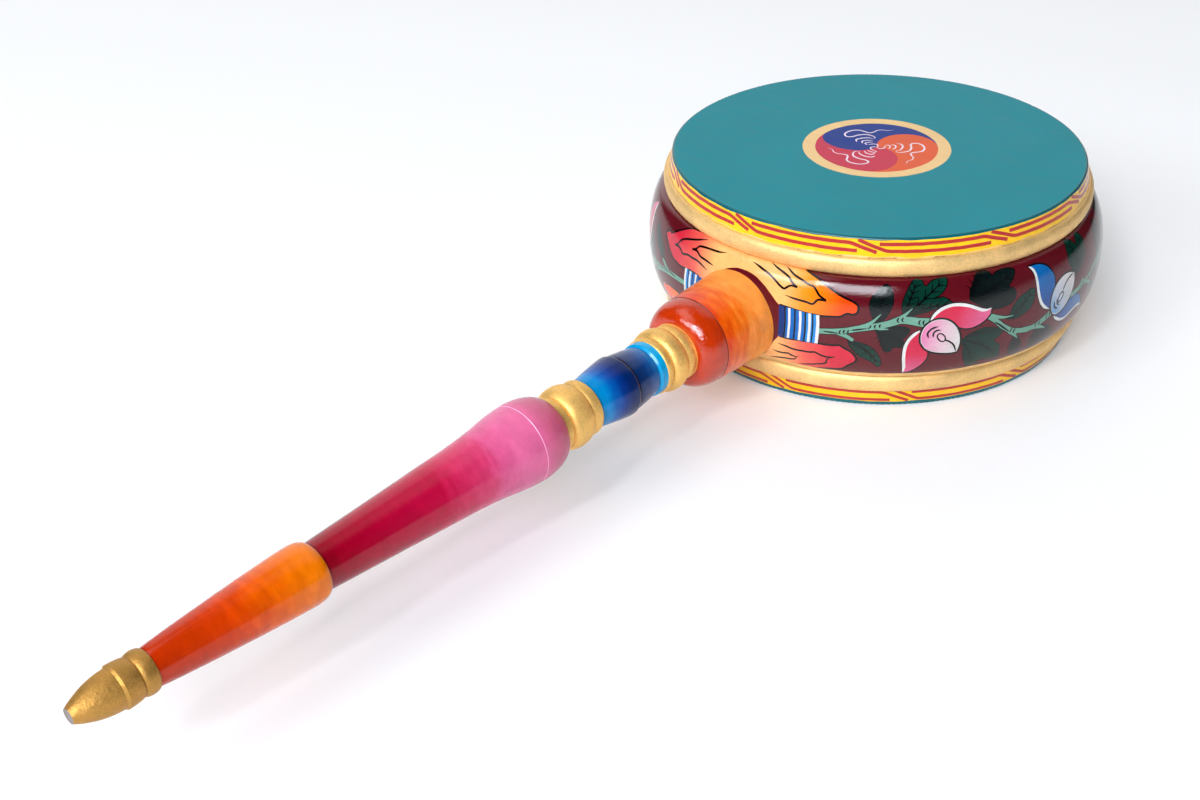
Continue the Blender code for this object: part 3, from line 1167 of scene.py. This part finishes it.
def belly_picture(colours, half_height):
    """Everything painted on the belly, as a flat sheet."""
    half = np.array((math.pi * BELLY_RADIUS, half_height))
    picture = Picture(-half, half, colours.maroon)
    for half, lobe in LOBES:
        picture.lay(*half)
        paint_lobe(picture, lobe, colours)
    picture.lay()
    picture.fill(curve(CUP_RING), colours.maroon)
    for half, lobe in LOBES:
        picture.lay(*half)
        ink_lobe(picture, lobe, colours)
    for flip, shift in (LEFT_VINE, RIGHT_HALF):
        for onward in ((0, 0), (VINE_REPEAT, 0)):
            picture.lay(flip, np.array(shift) + np.array(flip) * onward)
            paint_vine(picture, colours)
        for index, onward in CLOSING_LEAVES:
            picture.lay(flip, np.array(shift) + np.array(flip) * onward)
            paint_leaf(picture, colours, *LEAVES[index])
    for half in (LEFT_CUFF, RIGHT_HALF):
        picture.lay(*half)
        paint_cuff(picture, colours)
    picture.lay()
    picture.band(-half_height, GOLD_LINE_TOP, GOLD_LINE_WAVE, colours.peach, finish=1)
    return picture


# ---------------------------------------------------------------- the heads' pictures

EMBLEM_RADIUS = 62.8
EMBLEM_INNER = 52.0
# Where the curve between two arms meets the ring, in degrees, and how full that curve is
EMBLEM_CURVES = ((38, 1.08), (181, 0.80), (293, 0.87))
EMBLEM_CURL = (
    (((3.4, 8), (6.6, 9.8), (9, 7.2), (10.4, 3)), 1.2),
    (((6.6, 12), (10.8, 12.6), (13.6, 8.6), (13.2, 3.4)), 1.3),
    (((9, 17), (14, 17.6), (18.2, 12.4), (19.2, 6.4), (17.2, 3.6)), 1.5),
    (((0, -0.6), (4.6, -1), (6.2, 2.6), (4, 7.6)), 1.2),
    (((17.2, 3.6), (20, 1.8), (23.6, 4.2), (26.2, 10.4), (24, 17), (20.2, 22), (20, 26),
      (24, 28.2), (29.4, 26.8), (34, 22), (35.2, 16), (32.2, 11), (30.4, 7), (33, 3.2),
      (36.6, 0.6), (38.2, -4), (37.2, -8.4), (39.2, -13.4)), 1.6),
)
CURL_TURNS = (0, 122, -120)
CURL_TAPER = (0.15, 0.3)
CURVE_POINTS = 40
ARC_POINTS = 48
RING_POINTS = 180

# Fret joints round the rim, in millimetres from the handle's axis at the rim's radius
FRET_UPPER = (-20.0, 86.0, 192.0, 289.0)
FRET_LOWER = (17.0, 120.0, 222.0)
FRET_COUNT = 11
# Where the fret's two long lines run, as depths below the upper end of each lap
UPPER_FRET_LINES = (6.0, 11.5)
LOWER_FRET_LINES = (1.9, 9.6)
FRET_STROKE = 2.9
FRET_SLANT = 18.0  # the run of a stroke's slanting end
FRET_BEND = 2.6  # how far from a corner its rounding starts
FRET_CORNER = 0.6
FRET_STEP = 2.5
# The upper stroke starts and ends this far past the slants of its two joints, and drops below the
# lower line by this share of the fall between the lines
OVER_START = 4.5
OVER_END = 2.5
OVER_DROP = 0.2
# The lower stroke starts at this share of the slant, above the upper line by this share of the
# fall. It levels off this far past the slant, and ends this far past the next joint and this low.
UNDER_START = 0.32
UNDER_RISE = 0.5
UNDER_LEVEL = 10.0
UNDER_END = 5.5
UNDER_DROP = 0.4
# The teal paint over the rolled edge, darkened there as painted shade, and the gold hem beside the
# moulding: how deep and how wavy
SHADED_EDGE_WAVE = 0.8
UPPER_SHADED_EDGE = 2.9
LOWER_SHADED_EDGE = 5.4
UPPER_HEM = 1.2
UPPER_HEM_WAVE = 1.4
LOWER_HEM = 0.3
LOWER_HEM_WAVE = 0.4
BEYOND = 2.0  # how far past the sheet the teal darkened as painted shade is laid, to be trimmed


def emblem_curve(degrees, fullness):
    """The curve from the emblem's middle to its ring, in the direction of some degrees."""
    t = np.linspace(0, math.pi, CURVE_POINTS)
    half = EMBLEM_INNER / 2
    bow = np.stack([half - half * np.cos(t), half * fullness * np.sin(t)], axis=1)
    return turned_flat(bow, degrees)


def paint_emblem(picture, colours, curls):
    """Three swirling arms in a ring, with a curl drawn in each where curls are wanted."""
    picture.fill(arc(EMBLEM_RADIUS, 0, 360, RING_POINTS + 1)[:-1], colours.ring)
    arms = (colours.blue, colours.crimson, colours.orange)
    for number, paint in enumerate(arms):
        start, start_full = EMBLEM_CURVES[number]
        end, end_full = EMBLEM_CURVES[(number + 1) % 3]
        if end < start:
            end += 360
        leaving = emblem_curve(start, start_full)
        outside = arc(EMBLEM_INNER, start, end, ARC_POINTS)
        returning = emblem_curve(end, end_full)[::-1]
        picture.fill(np.vstack([leaving, outside, returning]), paint)
    if curls:
        for turn in CURL_TURNS:
            for line, width in EMBLEM_CURL:
                drawn = turned_flat(curve(line), turn)
                picture.fill(ribbon(drawn, width, CURL_TAPER), colours.chalk)


def fret_joints(given):
    """All the joints round the rim: the given ones, and the rest evenly spaced between them."""
    around = math.tau * RIM_RADIUS
    rest = FRET_COUNT - len(given)
    gap = (given[0] + around - given[-1]) / (rest + 1)
    joints = list(given) + [given[-1] + gap * (number + 1) for number in range(rest)]
    return [(joint + around / 2) % around - around / 2 for joint in joints]


def paint_fret(picture, colours, joints, upper_line, lower_line):
    """A fret of long strokes that step down past each other at every joint."""
    around = math.tau * RIM_RADIUS
    joints = sorted(joints)
    fall = upper_line - lower_line
    for joint, following in zip(joints, joints[1:] + [joints[0] + around]):
        over = (
            (joint + FRET_SLANT + OVER_START, upper_line),
            (following, upper_line),
            (following + FRET_SLANT + OVER_END, lower_line - fall * OVER_DROP),
        )
        under = (
            (joint + FRET_SLANT * UNDER_START, upper_line + fall * UNDER_RISE),
            (joint + FRET_SLANT + UNDER_LEVEL, lower_line),
            (following + UNDER_END, lower_line - UNDER_DROP),
        )
        for path in (bent(over), bent(under)):
            for shift in (-around, 0.0, around):
                moved = path + (shift, 0.0)
                if (np.abs(moved[:, 0]) < picture.high[0] - EDGE_MARGIN).any():
                    picture.fill(ribbon(moved, FRET_STROKE), colours.red)


def bent(corners):
    """Straight runs between corners, each corner rounded a little."""
    corners = np.array(corners, float)
    path = [corners[0]]
    for index in range(1, len(corners) - 1):
        before, here, after = corners[index - 1 : index + 2]
        into = (here - before) / np.linalg.norm(here - before)
        out = (after - here) / np.linalg.norm(after - here)
        corner = here + (out - into) * FRET_CORNER
        path += [here - into * FRET_BEND, corner, here + out * FRET_BEND]
    path.append(corners[-1])
    spaced = [path[0]]
    for start, end in zip(path, path[1:]):
        count = max(1, math.ceil(np.linalg.norm(end - start) / FRET_STEP))
        spaced += [start + (end - start) * (k + 1) / count for k in range(count)]
    return np.array(spaced)


def rim_picture(colours, upper, length):
    """The fret on a lap, between the rolled edge, painted a darker teal as shade, and a gold hem
    beside the moulding.
    """
    around = math.pi * RIM_RADIUS
    if upper:
        rim = Picture((-around, -length), (around, 0.0), colours.yellow)
        lines = [-depth for depth in UPPER_FRET_LINES]
        paint_fret(rim, colours, fret_joints(FRET_UPPER), *lines)
        # The teal over the rolled edge, darkened as painted shade
        rim.band(-UPPER_SHADED_EDGE, BEYOND, SHADED_EDGE_WAVE, colours.edge)
        rim.band(-length, UPPER_HEM - length, UPPER_HEM_WAVE, colours.ring, finish=1)
    else:
        rim = Picture((-around, 0.0), (around, length), colours.yellow)
        lines = [length - depth for depth in LOWER_FRET_LINES]
        paint_fret(rim, colours, fret_joints(FRET_LOWER), *lines)
        # The teal over the rolled edge, darkened as painted shade
        rim.band(-BEYOND, LOWER_SHADED_EDGE, SHADED_EDGE_WAVE, colours.edge)
        rim.band(length - LOWER_HEM, length, LOWER_HEM_WAVE, colours.ring, finish=1)
    return rim


# ---------------------------------------------------------------- pieces


def turned_over(points):
    """Points (radius, height) on one side of the drum, as they lie on its other side."""
    return np.array([(radius, DRUM_HEIGHT - height) for radius, height in points])


def shell_profile():
    """The shell's outline from the belly's lower edge, round its inside, to the upper edge."""
    middle = DRUM_HEIGHT / 2
    moulding_centre = (LAP_DEPTH + MOULDING_DEPTH) / 2
    moulding_half = (MOULDING_DEPTH - LAP_DEPTH) / 2
    moulding = half_round(moulding_centre, moulding_half, LAP_RADIUS, MOULDING_SWELL, ROUND_STEPS)
    moulding[-1] = (GROOVE_RADIUS, MOULDING_DEPTH)
    seat = LAP_RADIUS - UNDER_SKIN
    rim = HEAD_RADIUS - UNDER_SKIN
    inner = GROOVE_RADIUS - WALL
    ledge = np.array([(seat, LAP_DEPTH), (rim, UNDER_SKIN), (inner, UNDER_SKIN)])
    hollow = half_round(middle, middle - MOULDING_DEPTH, inner, BULGE_SWELL, ROUND_STEPS)
    above = [turned_over(ledge[::-1]), turned_over(moulding)]
    profile = np.vstack([moulding[::-1], ledge, hollow, *above])
    gold = [0] * (len(moulding) - 1)
    return profile, gold + [1] * (len(profile) - 1 - 2 * len(gold)) + gold


def make_shell():
    gold = gold_paint("gold_moulding", PALE_GOLD, metallic=0.6, dimples=0.25)
    wood = plain_wood("bare_wood", WOOD)
    lacquer = painted_lacquer("belly_lacquer", roughness=0.10)
    frame_part = turned("drum_shell", *shell_profile(), COLUMNS, [gold, wood])
    middle = DRUM_HEIGHT / 2
    side = half_round(middle, middle - MOULDING_DEPTH, GROOVE_RADIUS, BULGE_SWELL, BELLY_STEPS)
    reach = reach_along(side)
    half_height = reach[-1] / 2
    picture = belly_picture(bpy.context.scene.shell_colours, half_height)
    levels = reach[np.arange(1, BULGE_ROWS) * BELLY_STEPS // BULGE_ROWS] - half_height
    finishes = [lacquer, gold]
    belly = wrapped_mesh("belly", picture, side, BELLY_RADIUS, half_height, levels, finishes)
    piece = joined("drum_shell", [belly, frame_part])
    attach(piece, "root")
    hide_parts("shell")


# Points down a lap's outline and round its rolled edge, and the shares of each at which its
# facets bend
LAP_POINTS = 30
LAP_ROWS = (0.45, 0.75)
ROLL_POINTS = 24
ROLL_ROWS = (0.25, 0.5, 0.75, 1.0)
FACE_RINGS = (80, 110, 140, 160)  # millimetres


def rim_side():
    """The rim of the upper head, from its lower end up and over the rolled edge."""
    edge_height = DRUM_HEIGHT - SKIN_EDGE_ROUND
    lower_end = DRUM_HEIGHT - LAP_DEPTH
    straight = np.linspace((LAP_RADIUS, lower_end), (HEAD_RADIUS, edge_height), LAP_POINTS)
    angles = np.linspace(0, math.pi / 2, ROLL_POINTS)[1:]
    roll = np.stack(
        [
            HEAD_RADIUS - SKIN_EDGE_ROUND * (1 - np.cos(angles)),
            edge_height + SKIN_EDGE_ROUND * np.sin(angles),
        ],
        axis=1,
    )
    return np.vstack([straight, roll])


def make_face(name, colours, upper):
    """The flat part of a head, with its emblem."""
    skin = painted_skin(name + "_paint")
    edge = (HEAD_RADIUS - SKIN_EDGE_ROUND) / MM
    face = Picture((-edge, -edge), (edge, edge), colours.teal)
    paint_emblem(face, colours, curls=upper)
    angles = np.linspace(-math.pi, math.pi, COLUMNS + 1)[:-1]
    circle = np.stack([np.sin(angles), -np.cos(angles)], axis=1)
    rings = np.vstack([radius * circle[::4] for radius in FACE_RINGS])
    surface = flat(DRUM_HEIGHT, 1) if upper else flat(0.0, -1)
    disc = face.mesh(name + "_face", surface, edge * circle, rings, [skin])
    if not upper:
        disc.flip_normals()
    return disc


def make_rim(name, colours, upper):
    """The lap of a head and its rolled edge, with the fret."""
    band = painted_lacquer(name + "_band", roughness=0.2)
    gold = gold_paint(name + "_gold", PALE_GOLD, metallic=0.6, dimples=0.15)
    side = rim_side() if upper else turned_over(rim_side())[::-1]
    length = reach_along(side)[-1]
    rim = rim_picture(colours, upper, length)
    roll = SKIN_EDGE_ROUND / MM * math.pi / 2
    levels = np.concatenate([np.array(ROLL_ROWS) * roll, np.array(LAP_ROWS) * length])
    if upper:
        levels = -levels[::-1]
    zero = length if upper else 0.0
    return wrapped_mesh(name + "_rim", rim, side, RIM_RADIUS, zero, levels, [band, gold])


def make_lining(name, upper):
    """The inner side of a head and the cut end of its lap."""
    inner = [
        (LAP_RADIUS, LAP_DEPTH),
        (LAP_RADIUS - SKIN, LAP_DEPTH),
        (HEAD_RADIUS - SKIN, SKIN),
        (0.0, SKIN),
    ]
    if upper:
        inner = turned_over(inner)
    return turned(name + "_lining", inner, [0, 0, 0], COLUMNS, [rawhide(name + "_inside")])


def make_head(name, upper):
    colours = bpy.context.scene.head_colours
    face = make_face(name, colours, upper)
    rim = make_rim(name, colours, upper)
    piece = joined(name, [face, rim, make_lining(name, upper)])
    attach(piece, "root")
    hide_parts("head_upper" if upper else "head_lower")


# ---------------------------------------------------------------- handle

CUP, BALL, GILT, SKY, BARREL, BULB, GROOVE, RIDGE, LINE, SLEEVE, POINT, BARE = range(12)
# Each turned stretch: its shape, the place where it ends as a distance from the drum's axis, the
# radius there, how far it swells beyond a straight line, and its paint
HANDLE_TURNINGS = (
    ("line", 0.2450, 0.0368, 0.0, CUP),
    ("cut", 0.2460, 0.0367, 0.0007, GROOVE),
    ("dome", 0.2662, 0.0232, 0.0, BALL),
    ("step", 0.2664, 0.0216, 0.0, GILT),
    ("bead", 0.2755, 0.0212, 0.0017, GILT),
    ("bead", 0.2920, 0.0212, 0.0047, GILT),
    ("bead", 0.2990, 0.0218, 0.0014, GILT),
    ("line", 0.3045, 0.0216, 0.0, SKY),
    ("step", 0.3062, 0.0200, 0.0, SKY),
    ("bead", 0.3312, 0.0233, 0.0004, BARREL),
    ("cut", 0.3324, 0.0238, 0.0002, RIDGE),
    ("step", 0.3338, 0.0244, 0.0, BARREL),
    ("bead", 0.3708, 0.0184, 0.0009, BARREL),
    ("step", 0.3710, 0.0211, 0.0, GILT),
    ("bead", 0.3795, 0.0201, 0.0013, GILT),
    ("bead", 0.4003, 0.0200, 0.0046, GILT),
    ("bead", 0.4080, 0.0207, 0.0010, GILT),
    ("rise", 0.4340, 0.0311, 0.0, BULB),
    ("line", 0.4384, 0.0309, 0.0, BULB),
    ("cut", 0.4392, 0.0309, 0.0004, LINE),
    ("neck", 0.6215, 0.0173, 0.0, BULB),
    ("rise", 0.6305, 0.0214, 0.0, SLEEVE),
    ("bead", 0.7453, 0.0129, 0.0011, SLEEVE),
    ("bead", 0.7558, 0.0131, 0.0020, POINT),
    ("rise", 0.7675, 0.0150, 0.0, POINT),
    ("step", 0.7692, 0.0137, 0.0, POINT),
    ("nose", TIP_END, TIP_END_RADIUS, 0.0, POINT),
)
# The long neck passes through these places and radii
NECK = (
    (0.4392, 0.0309), (0.4510, 0.0298), (0.4690, 0.0271), (0.4900, 0.0250), (0.5200, 0.0232),
    (0.5620, 0.0207), (0.5980, 0.0187), (0.6215, 0.0173),
)
STEPS_OF = {"line": 6, "step": 2, "cut": 4, "dome": 18, "rise": 18, "bead": 16, "nose": 18}
NECK_STEP = 0.004
FOOT_SINK = 0.004


def turning(shape, start, end, swell):
    """Points (radius, place) of one turned stretch after its start, which is left out."""
    (radius, place), (end_radius, end_place) = start, end
    if shape == "neck":
        return [(across, along) for along, across in curve(NECK, step=NECK_STEP)[1:]]
    steps = STEPS_OF[shape]
    points = []
    for step in range(1, steps + 1):
        along = step / steps
        blend = along
        extra = 0.0
        if shape == "dome":
            along = math.sin(along * math.pi / 2)
            blend = 1 - math.sqrt(1 - along**2)
        elif shape == "rise":
            along = 1 - math.cos(along * math.pi / 2)
            blend = math.sqrt(1 - (1 - along) ** 2)
        elif shape == "bead":
            angle = math.pi * (along - 0.5)
            along = (1 + math.sin(angle)) / 2
            blend = along
            extra = swell * math.cos(angle)
        elif shape == "cut":
            extra = -swell * math.sin(math.pi * along)
        elif shape == "nose":
            blend = along**2
        points.append(
            (radius + blend * (end_radius - radius) + extra, place + along * (end_place - place))
        )
    return points


def handle_profile():
    profile = [(0.0, CUP_FOOT), (CUP_FOOT_RADIUS, CUP_FOOT)]
    finishes = [BARE]
    for shape, place, radius, swell, finish in HANDLE_TURNINGS:
        points = turning(shape, profile[-1], (radius, place), swell)
        profile += points
        finishes += [finish] * len(points)
    profile += [(TIP_END_RADIUS * 0.5, TIP_END), (0.0, TIP_END)]
    return profile, finishes + [BARE, BARE]


def belly_radius(height):
    """The radius of the shell's belly at some height."""
    middle = DRUM_HEIGHT / 2
    share = (height - middle) / (middle - MOULDING_DEPTH)
    return GROOVE_RADIUS + BULGE_SWELL * math.sqrt(max(0.0, 1 - share**2))


def cope(mesh):
    """Fits the cup's foot to the belly, and sinks the middle of the foot into the wood."""
    for vertex in mesh.vertices:
        x, y, z = vertex.co
        if abs(y + CUP_FOOT) < NEAR:
            if abs(x) + abs(z - HANDLE_HEIGHT) < NEAR:
                vertex.co.y = FOOT_SINK - CUP_FOOT
            else:
                vertex.co.y = -math.sqrt(belly_radius(z) ** 2 - x**2)


def enamel(name, stops, roughness=0.17, ragged=0.0025, haze=0.07, dimples=0.1, gloss=1.4):
    """Paint whose colour changes along the handle. A stop is (place, colour)."""
    finish = Finish(name, IOR=gloss)
    place = finish.node("ShaderNodeSeparateXYZ", [(0, finish.place())], output="Y")
    brush = finish.speckle(scale=170.0, detail=4.0, stretch=(0.35, 1.0, 0.35))
    low, high = stops[0][0], stops[-1][0]
    shifted = finish.maths("ADD", place, finish.spread(brush, -ragged, ragged))
    links = enumerate((shifted, -low, -high, 0.0, 1.0))
    share = finish.node("ShaderNodeMapRange", links)
    ramp = add_node(finish.tree, "ShaderNodeValToRGB", [(0, share)])
    band = ramp.color_ramp.elements
    while len(band) < len(stops):
        band.new(0.5)
    for element, (where, colour) in zip(band, stops):
        element.position = (where - low) / (high - low)
        element.color = (*linear(*colour), 1.0)
    cloud = finish.speckle(scale=90.0, detail=4.0)
    finish.colour(ramp.outputs[0], (cloud, 1 - haze, 1 + haze), (brush, 0.95, 1.05))
    finish.roughness(cloud, roughness * 0.8, roughness * 1.3)
    pits = finish.speckle(scale=420.0, detail=2.5)
    finish.bump((brush, 0.12, 0.0008), (pits, dimples, 0.0009))
    return finish.material


def make_handle():
    finishes = [  # in the order of CUP to BARE
        enamel(
            "cup_enamel",
            [(0.188, (242, 148, 60)), (0.205, (238, 144, 64)), (0.216, (234, 130, 46)),
             (0.226, (230, 106, 18)), (0.236, (222, 84, 4)), (0.246, (216, 60, 0))],
            roughness=0.17, ragged=0.010, haze=0.10, dimples=0.35,
        ),
        enamel(
            "ball_enamel", [(0.245, (176, 44, 0)), (0.266, (178, 45, 3))],
            roughness=0.08, haze=0.10, dimples=0.42, gloss=1.65,
        ),
        gold_paint("gilt_rings", RING_GOLD, metallic=0.72, dimples=0.25),
        enamel("sky_enamel", [(0.298, (4, 158, 208)), (0.3062, (0, 138, 192))]),
        enamel(
            "barrel_enamel",
            [(0.306, (0, 108, 168)), (0.313, (0, 80, 148)), (0.320, (4, 52, 112)),
             (0.331, (9, 35, 80)), (0.340, (0, 30, 86)), (0.348, (0, 45, 122)),
             (0.356, (0, 84, 162)), (0.362, (0, 124, 188)), (0.371, (0, 124, 180))],
            ragged=0.002,
        ),
        enamel(
            "pink_enamel",
            # The darker mauve-pink at the bulb's root, beside the gold ring, is painted shade
            [(0.408, (190, 80, 108)), (0.425, (200, 92, 126)), (0.439, (214, 99, 144)),
             (0.458, (214, 98, 144)), (0.476, (208, 80, 129)), (0.485, (201, 55, 101)),
             (0.51, (195, 34, 80)), (0.525, (178, 9, 57)), (0.59, (156, 0, 38)),
             (0.622, (132, 0, 24))],
            ragged=0.004,
        ),
        enamel("scribed_enamel", [(0.2445, (92, 22, 6)), (0.2465, (110, 26, 4))]),
        enamel(
            "ridge_enamel", [(0.330, (3, 14, 40)), (0.334, (3, 14, 40))],
            roughness=0.6, gloss=1.0,
        ),
        enamel("line_enamel", [(0.438, (244, 164, 200)), (0.4395, (244, 164, 200))]),
        enamel(
            "sleeve_enamel",
            [(0.621, (234, 120, 2)), (0.648, (222, 102, 0)), (0.664, (218, 88, 0)),
             (0.682, (204, 65, 0)), (0.70, (192, 52, 0)), (0.745, (172, 40, 0))],
            ragged=0.006, haze=0.09,
        ),
        gold_paint("gilt_point", POINT_GOLD, metallic=0.72, dimples=0.5),
        plain_wood("bare_end", OLD_WOOD),
    ]
    mesh = turned("drum_handle", *handle_profile(), HANDLE_COLUMNS, finishes)
    lying = Matrix.Rotation(math.radians(90), 4, "X")
    mesh.transform(Matrix.Translation((0.0, 0.0, HANDLE_HEIGHT)) @ lying)
    cope(mesh)
    piece = joined("drum_handle", [mesh])
    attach(piece, "root")
    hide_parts("handle")


# ---------------------------------------------------------------- stage


class StageSettings(bpy.types.PropertyGroup):
    """Camera and light."""

    lens: bpy.props.FloatProperty(
        name="Lens", description="Focal length of the camera", default=46.4, unit="CAMERA"
    )
    lamps: bpy.props.FloatProperty(
        name="Lamps", description="Brightness of the softboxes", default=1.0, min=0.0
    )
    walls: bpy.props.FloatProperty(
        name="Walls", description="Brightness of the pale walls", default=1.0, min=0.0
    )


CAMERA_AT = Vector((0.6783, -1.0554, 0.6850))
CAMERA_AIM = Vector((0.0036, -0.3562, 0.0690))
CAMERA_ROLL = math.radians(-2.14)
FLOOR_HALF = 6.0
FLOOR_COLOUR = (0.80, 0.80, 0.805)
FLOOR_GLOW = 0.07
BACKDROP_RADIUS = 5.8
BACKDROP_HEIGHT = 6.0
BACKDROP_COLOUR = (0.05, 0.05, 0.05)
BACKDROP_GLOW = 0.93
# Softboxes: azimuth from the handle's side towards +X, elevation, width and height as seen from
# the drum, in degrees, and radiance in each colour
SOFTBOXES = {
    "slim": (9, 41, 7, 14, (33.0, 34.0, 35.5)),
    "broad": (30, 35, 24, 25, (13.2, 14.0, 15.0)),
    "left": (-9, 30, 24, 14, (10.0, 10.4, 11.0)),
    "high": (-50, 64, 45, 30, (1.6, 1.55, 1.5)),
}
SOFTBOX_DISTANCE = 9.0
SOFTBOX_AIM = Vector((0.0, -0.2, 0.05))
# White surroundings: azimuth and elevation of the middle of each glow, the angles from there at
# which it starts to fade and is gone, and radiance
GLOWS = (
    (-138, 20, 28, 42, 1.2),
    (-175, 50, 12, 30, 0.75),
    (112, 10, 10, 34, 0.1),
)
GLOOM = 0.03


def toward(azimuth, elevation):
    """The direction at some degrees round from -Y towards +X, and up."""
    azimuth, elevation = math.radians(azimuth), math.radians(elevation)
    level = math.cos(elevation)
    return Vector((level * math.sin(azimuth), -level * math.cos(azimuth), math.sin(elevation)))


def add_softbox(name, azimuth, elevation, wide, tall, radiance, brightness):
    lamp = bpy.data.lights.new(name, "AREA")
    lamp.shape = "RECTANGLE"
    lamp.size = 2 * SOFTBOX_DISTANCE * math.tan(math.radians(wide / 2))
    lamp.size_y = 2 * SOFTBOX_DISTANCE * math.tan(math.radians(tall / 2))
    peak = max(radiance)
    lamp.color = [channel / peak for channel in radiance]
    lamp.energy = brightness * peak * math.pi * lamp.size * lamp.size_y
    thing = add_object(name, lamp)
    direction = toward(azimuth, elevation)
    thing.location = SOFTBOX_AIM + SOFTBOX_DISTANCE * direction
    thing.rotation_euler = (-direction).to_track_quat("-Z", "Y").to_euler()


def make_surroundings(brightness):
    """Pale walls behind the drum, in a room that is dark elsewhere."""
    world = bpy.data.worlds.new("surroundings")
    bpy.context.scene.world = world
    world.use_nodes = True
    tree = world.node_tree
    direction = add_node(tree, "ShaderNodeTexCoord").outputs["Generated"]
    total = GLOOM * brightness
    for azimuth, elevation, full, gone, radiance in GLOWS:
        links = [(0, direction), (1, toward(azimuth, elevation))]
        facing = add_node(tree, "ShaderNodeVectorMath", links, operation="DOT_PRODUCT")
        edges = (math.cos(math.radians(gone)), math.cos(math.radians(full)))
        links = enumerate((facing.outputs["Value"], *edges, 0.0, radiance * brightness))
        glow = add_node(tree, "ShaderNodeMapRange", links, interpolation_type="SMOOTHSTEP")
        links = enumerate((glow.outputs[0], total))
        total = add_node(tree, "ShaderNodeMath", links, operation="MAXIMUM").outputs[0]
    background = tree.nodes["Background"]
    background.inputs["Color"].default_value = (1.0, 1.0, 1.0, 1.0)
    tree.links.new(total, background.inputs["Strength"])


def stage_object(name, shape, material):
    """An object of the stage from a bmesh, which is freed."""
    mesh = bpy.data.meshes.new(name)
    shape.to_mesh(mesh)
    shape.free()
    mesh.materials.append(material)
    return add_object(name, mesh)


def make_floor():
    """A pale matt floor."""
    shape = bmesh.new()
    bmesh.ops.create_grid(shape, x_segments=4, y_segments=4, size=FLOOR_HALF)
    material = paper(
        "floor_paper", FLOOR_COLOUR, unevenness=0.005, roughness=0.7, scale=1.5, glow=FLOOR_GLOW
    )
    floor = stage_object("floor", shape, material)


def make_backdrop():
    """A pale round wall for low views. It neither lights nor shades the drum."""
    shape = bmesh.new()
    ring = bmesh.ops.create_circle(shape, segments=96, radius=BACKDROP_RADIUS)["verts"]
    foot = list({edge for vert in ring for edge in vert.link_edges})
    wall = bmesh.ops.extrude_edge_only(shape, edges=foot)["geom"]
    top = [part for part in wall if isinstance(part, bmesh.types.BMVert)]
    bmesh.ops.translate(shape, verts=top, vec=(0.0, 0.0, BACKDROP_HEIGHT))
    material = paper(
        "backdrop_paper", BACKDROP_COLOUR, unevenness=0.1, roughness=0.9, scale=0.5,
        glow=BACKDROP_GLOW,
    )
    backdrop = stage_object("backdrop", shape, material)
    backdrop.visible_diffuse = False
    backdrop.visible_glossy = False
    backdrop.visible_shadow = False


def make_camera(settings):
    camera = bpy.data.cameras.new("camera")
    camera.lens = settings.lens
    camera.sensor_width = 36.0
    camera.clip_end = 50.0
    thing = add_object("camera", camera)
    thing.location = CAMERA_AT
    look = (CAMERA_AIM - CAMERA_AT).to_track_quat("-Z", "Y")
    thing.rotation_mode = "QUATERNION"
    thing.rotation_quaternion = look @ Quaternion((0.0, 0.0, 1.0), CAMERA_ROLL)
    bpy.context.scene.camera = thing


# ---------------------------------------------------------------- operators and panel


class HANDDRUM_OT_stage(bpy.types.Operator):
    """Add the camera, the lights, the floor and the backdrop"""

    bl_idname = "handdrum.stage"
    bl_label = "Stage"

    def execute(self, context):
        settings = context.scene.stage_settings
        make_camera(settings)
        make_floor()
        make_backdrop()
        make_surroundings(settings.walls)
        for name, box in SOFTBOXES.items():
            add_softbox(name, *box, settings.lamps)
        context.scene.view_settings.view_transform = "Standard"
        return {"FINISHED"}


class HANDDRUM_OT_shell(bpy.types.Operator):
    """Add the painted shell"""

    bl_idname = "handdrum.shell"
    bl_label = "Shell"

    def execute(self, context):
        make_shell()
        return {"FINISHED"}


class HANDDRUM_OT_heads(bpy.types.Operator):
    """Add the two painted heads"""

    bl_idname = "handdrum.heads"
    bl_label = "Heads"

    def execute(self, context):
        make_head("drum_head_upper", upper=True)
        make_head("drum_head_lower", upper=False)
        return {"FINISHED"}


class HANDDRUM_OT_handle(bpy.types.Operator):
    """Add the turned handle"""

    bl_idname = "handdrum.handle"
    bl_label = "Handle"

    def execute(self, context):
        make_handle()
        return {"FINISHED"}


OPERATORS = (HANDDRUM_OT_stage, HANDDRUM_OT_shell, HANDDRUM_OT_heads, HANDDRUM_OT_handle)


class HANDDRUM_PT_panel(bpy.types.Panel):
    """Pieces and colours of the drum, and the camera and light"""

    bl_idname = "HANDDRUM_PT_panel"
    bl_label = "Hand drum"
    bl_space_type = "VIEW_3D"
    bl_region_type = "UI"
    bl_category = "Hand drum"

    def draw(self, context):
        for operator in OPERATORS:
            self.layout.operator(operator.bl_idname)
        scene = context.scene
        for group in (scene.stage_settings, scene.shell_colours, scene.head_colours):
            for name in group.__annotations__:
                self.layout.prop(group, name)


CLASSES = (ShellColours, HeadColours, StageSettings, *OPERATORS, HANDDRUM_PT_panel)


def register():
    for made in CLASSES:
        bpy.utils.register_class(made)
    bpy.types.Scene.shell_colours = bpy.props.PointerProperty(type=ShellColours)
    bpy.types.Scene.head_colours = bpy.props.PointerProperty(type=HeadColours)
    bpy.types.Scene.stage_settings = bpy.props.PointerProperty(type=StageSettings)


def unregister():
    del bpy.types.Scene.stage_settings
    del bpy.types.Scene.head_colours
    del bpy.types.Scene.shell_colours
    for made in reversed(CLASSES):
        bpy.utils.unregister_class(made)


def main():
    register()
    bpy.ops.handdrum.stage()
    bpy.ops.handdrum.shell()
    bpy.ops.handdrum.heads()
    bpy.ops.handdrum.handle()


if __name__ == "__main__":
    main()
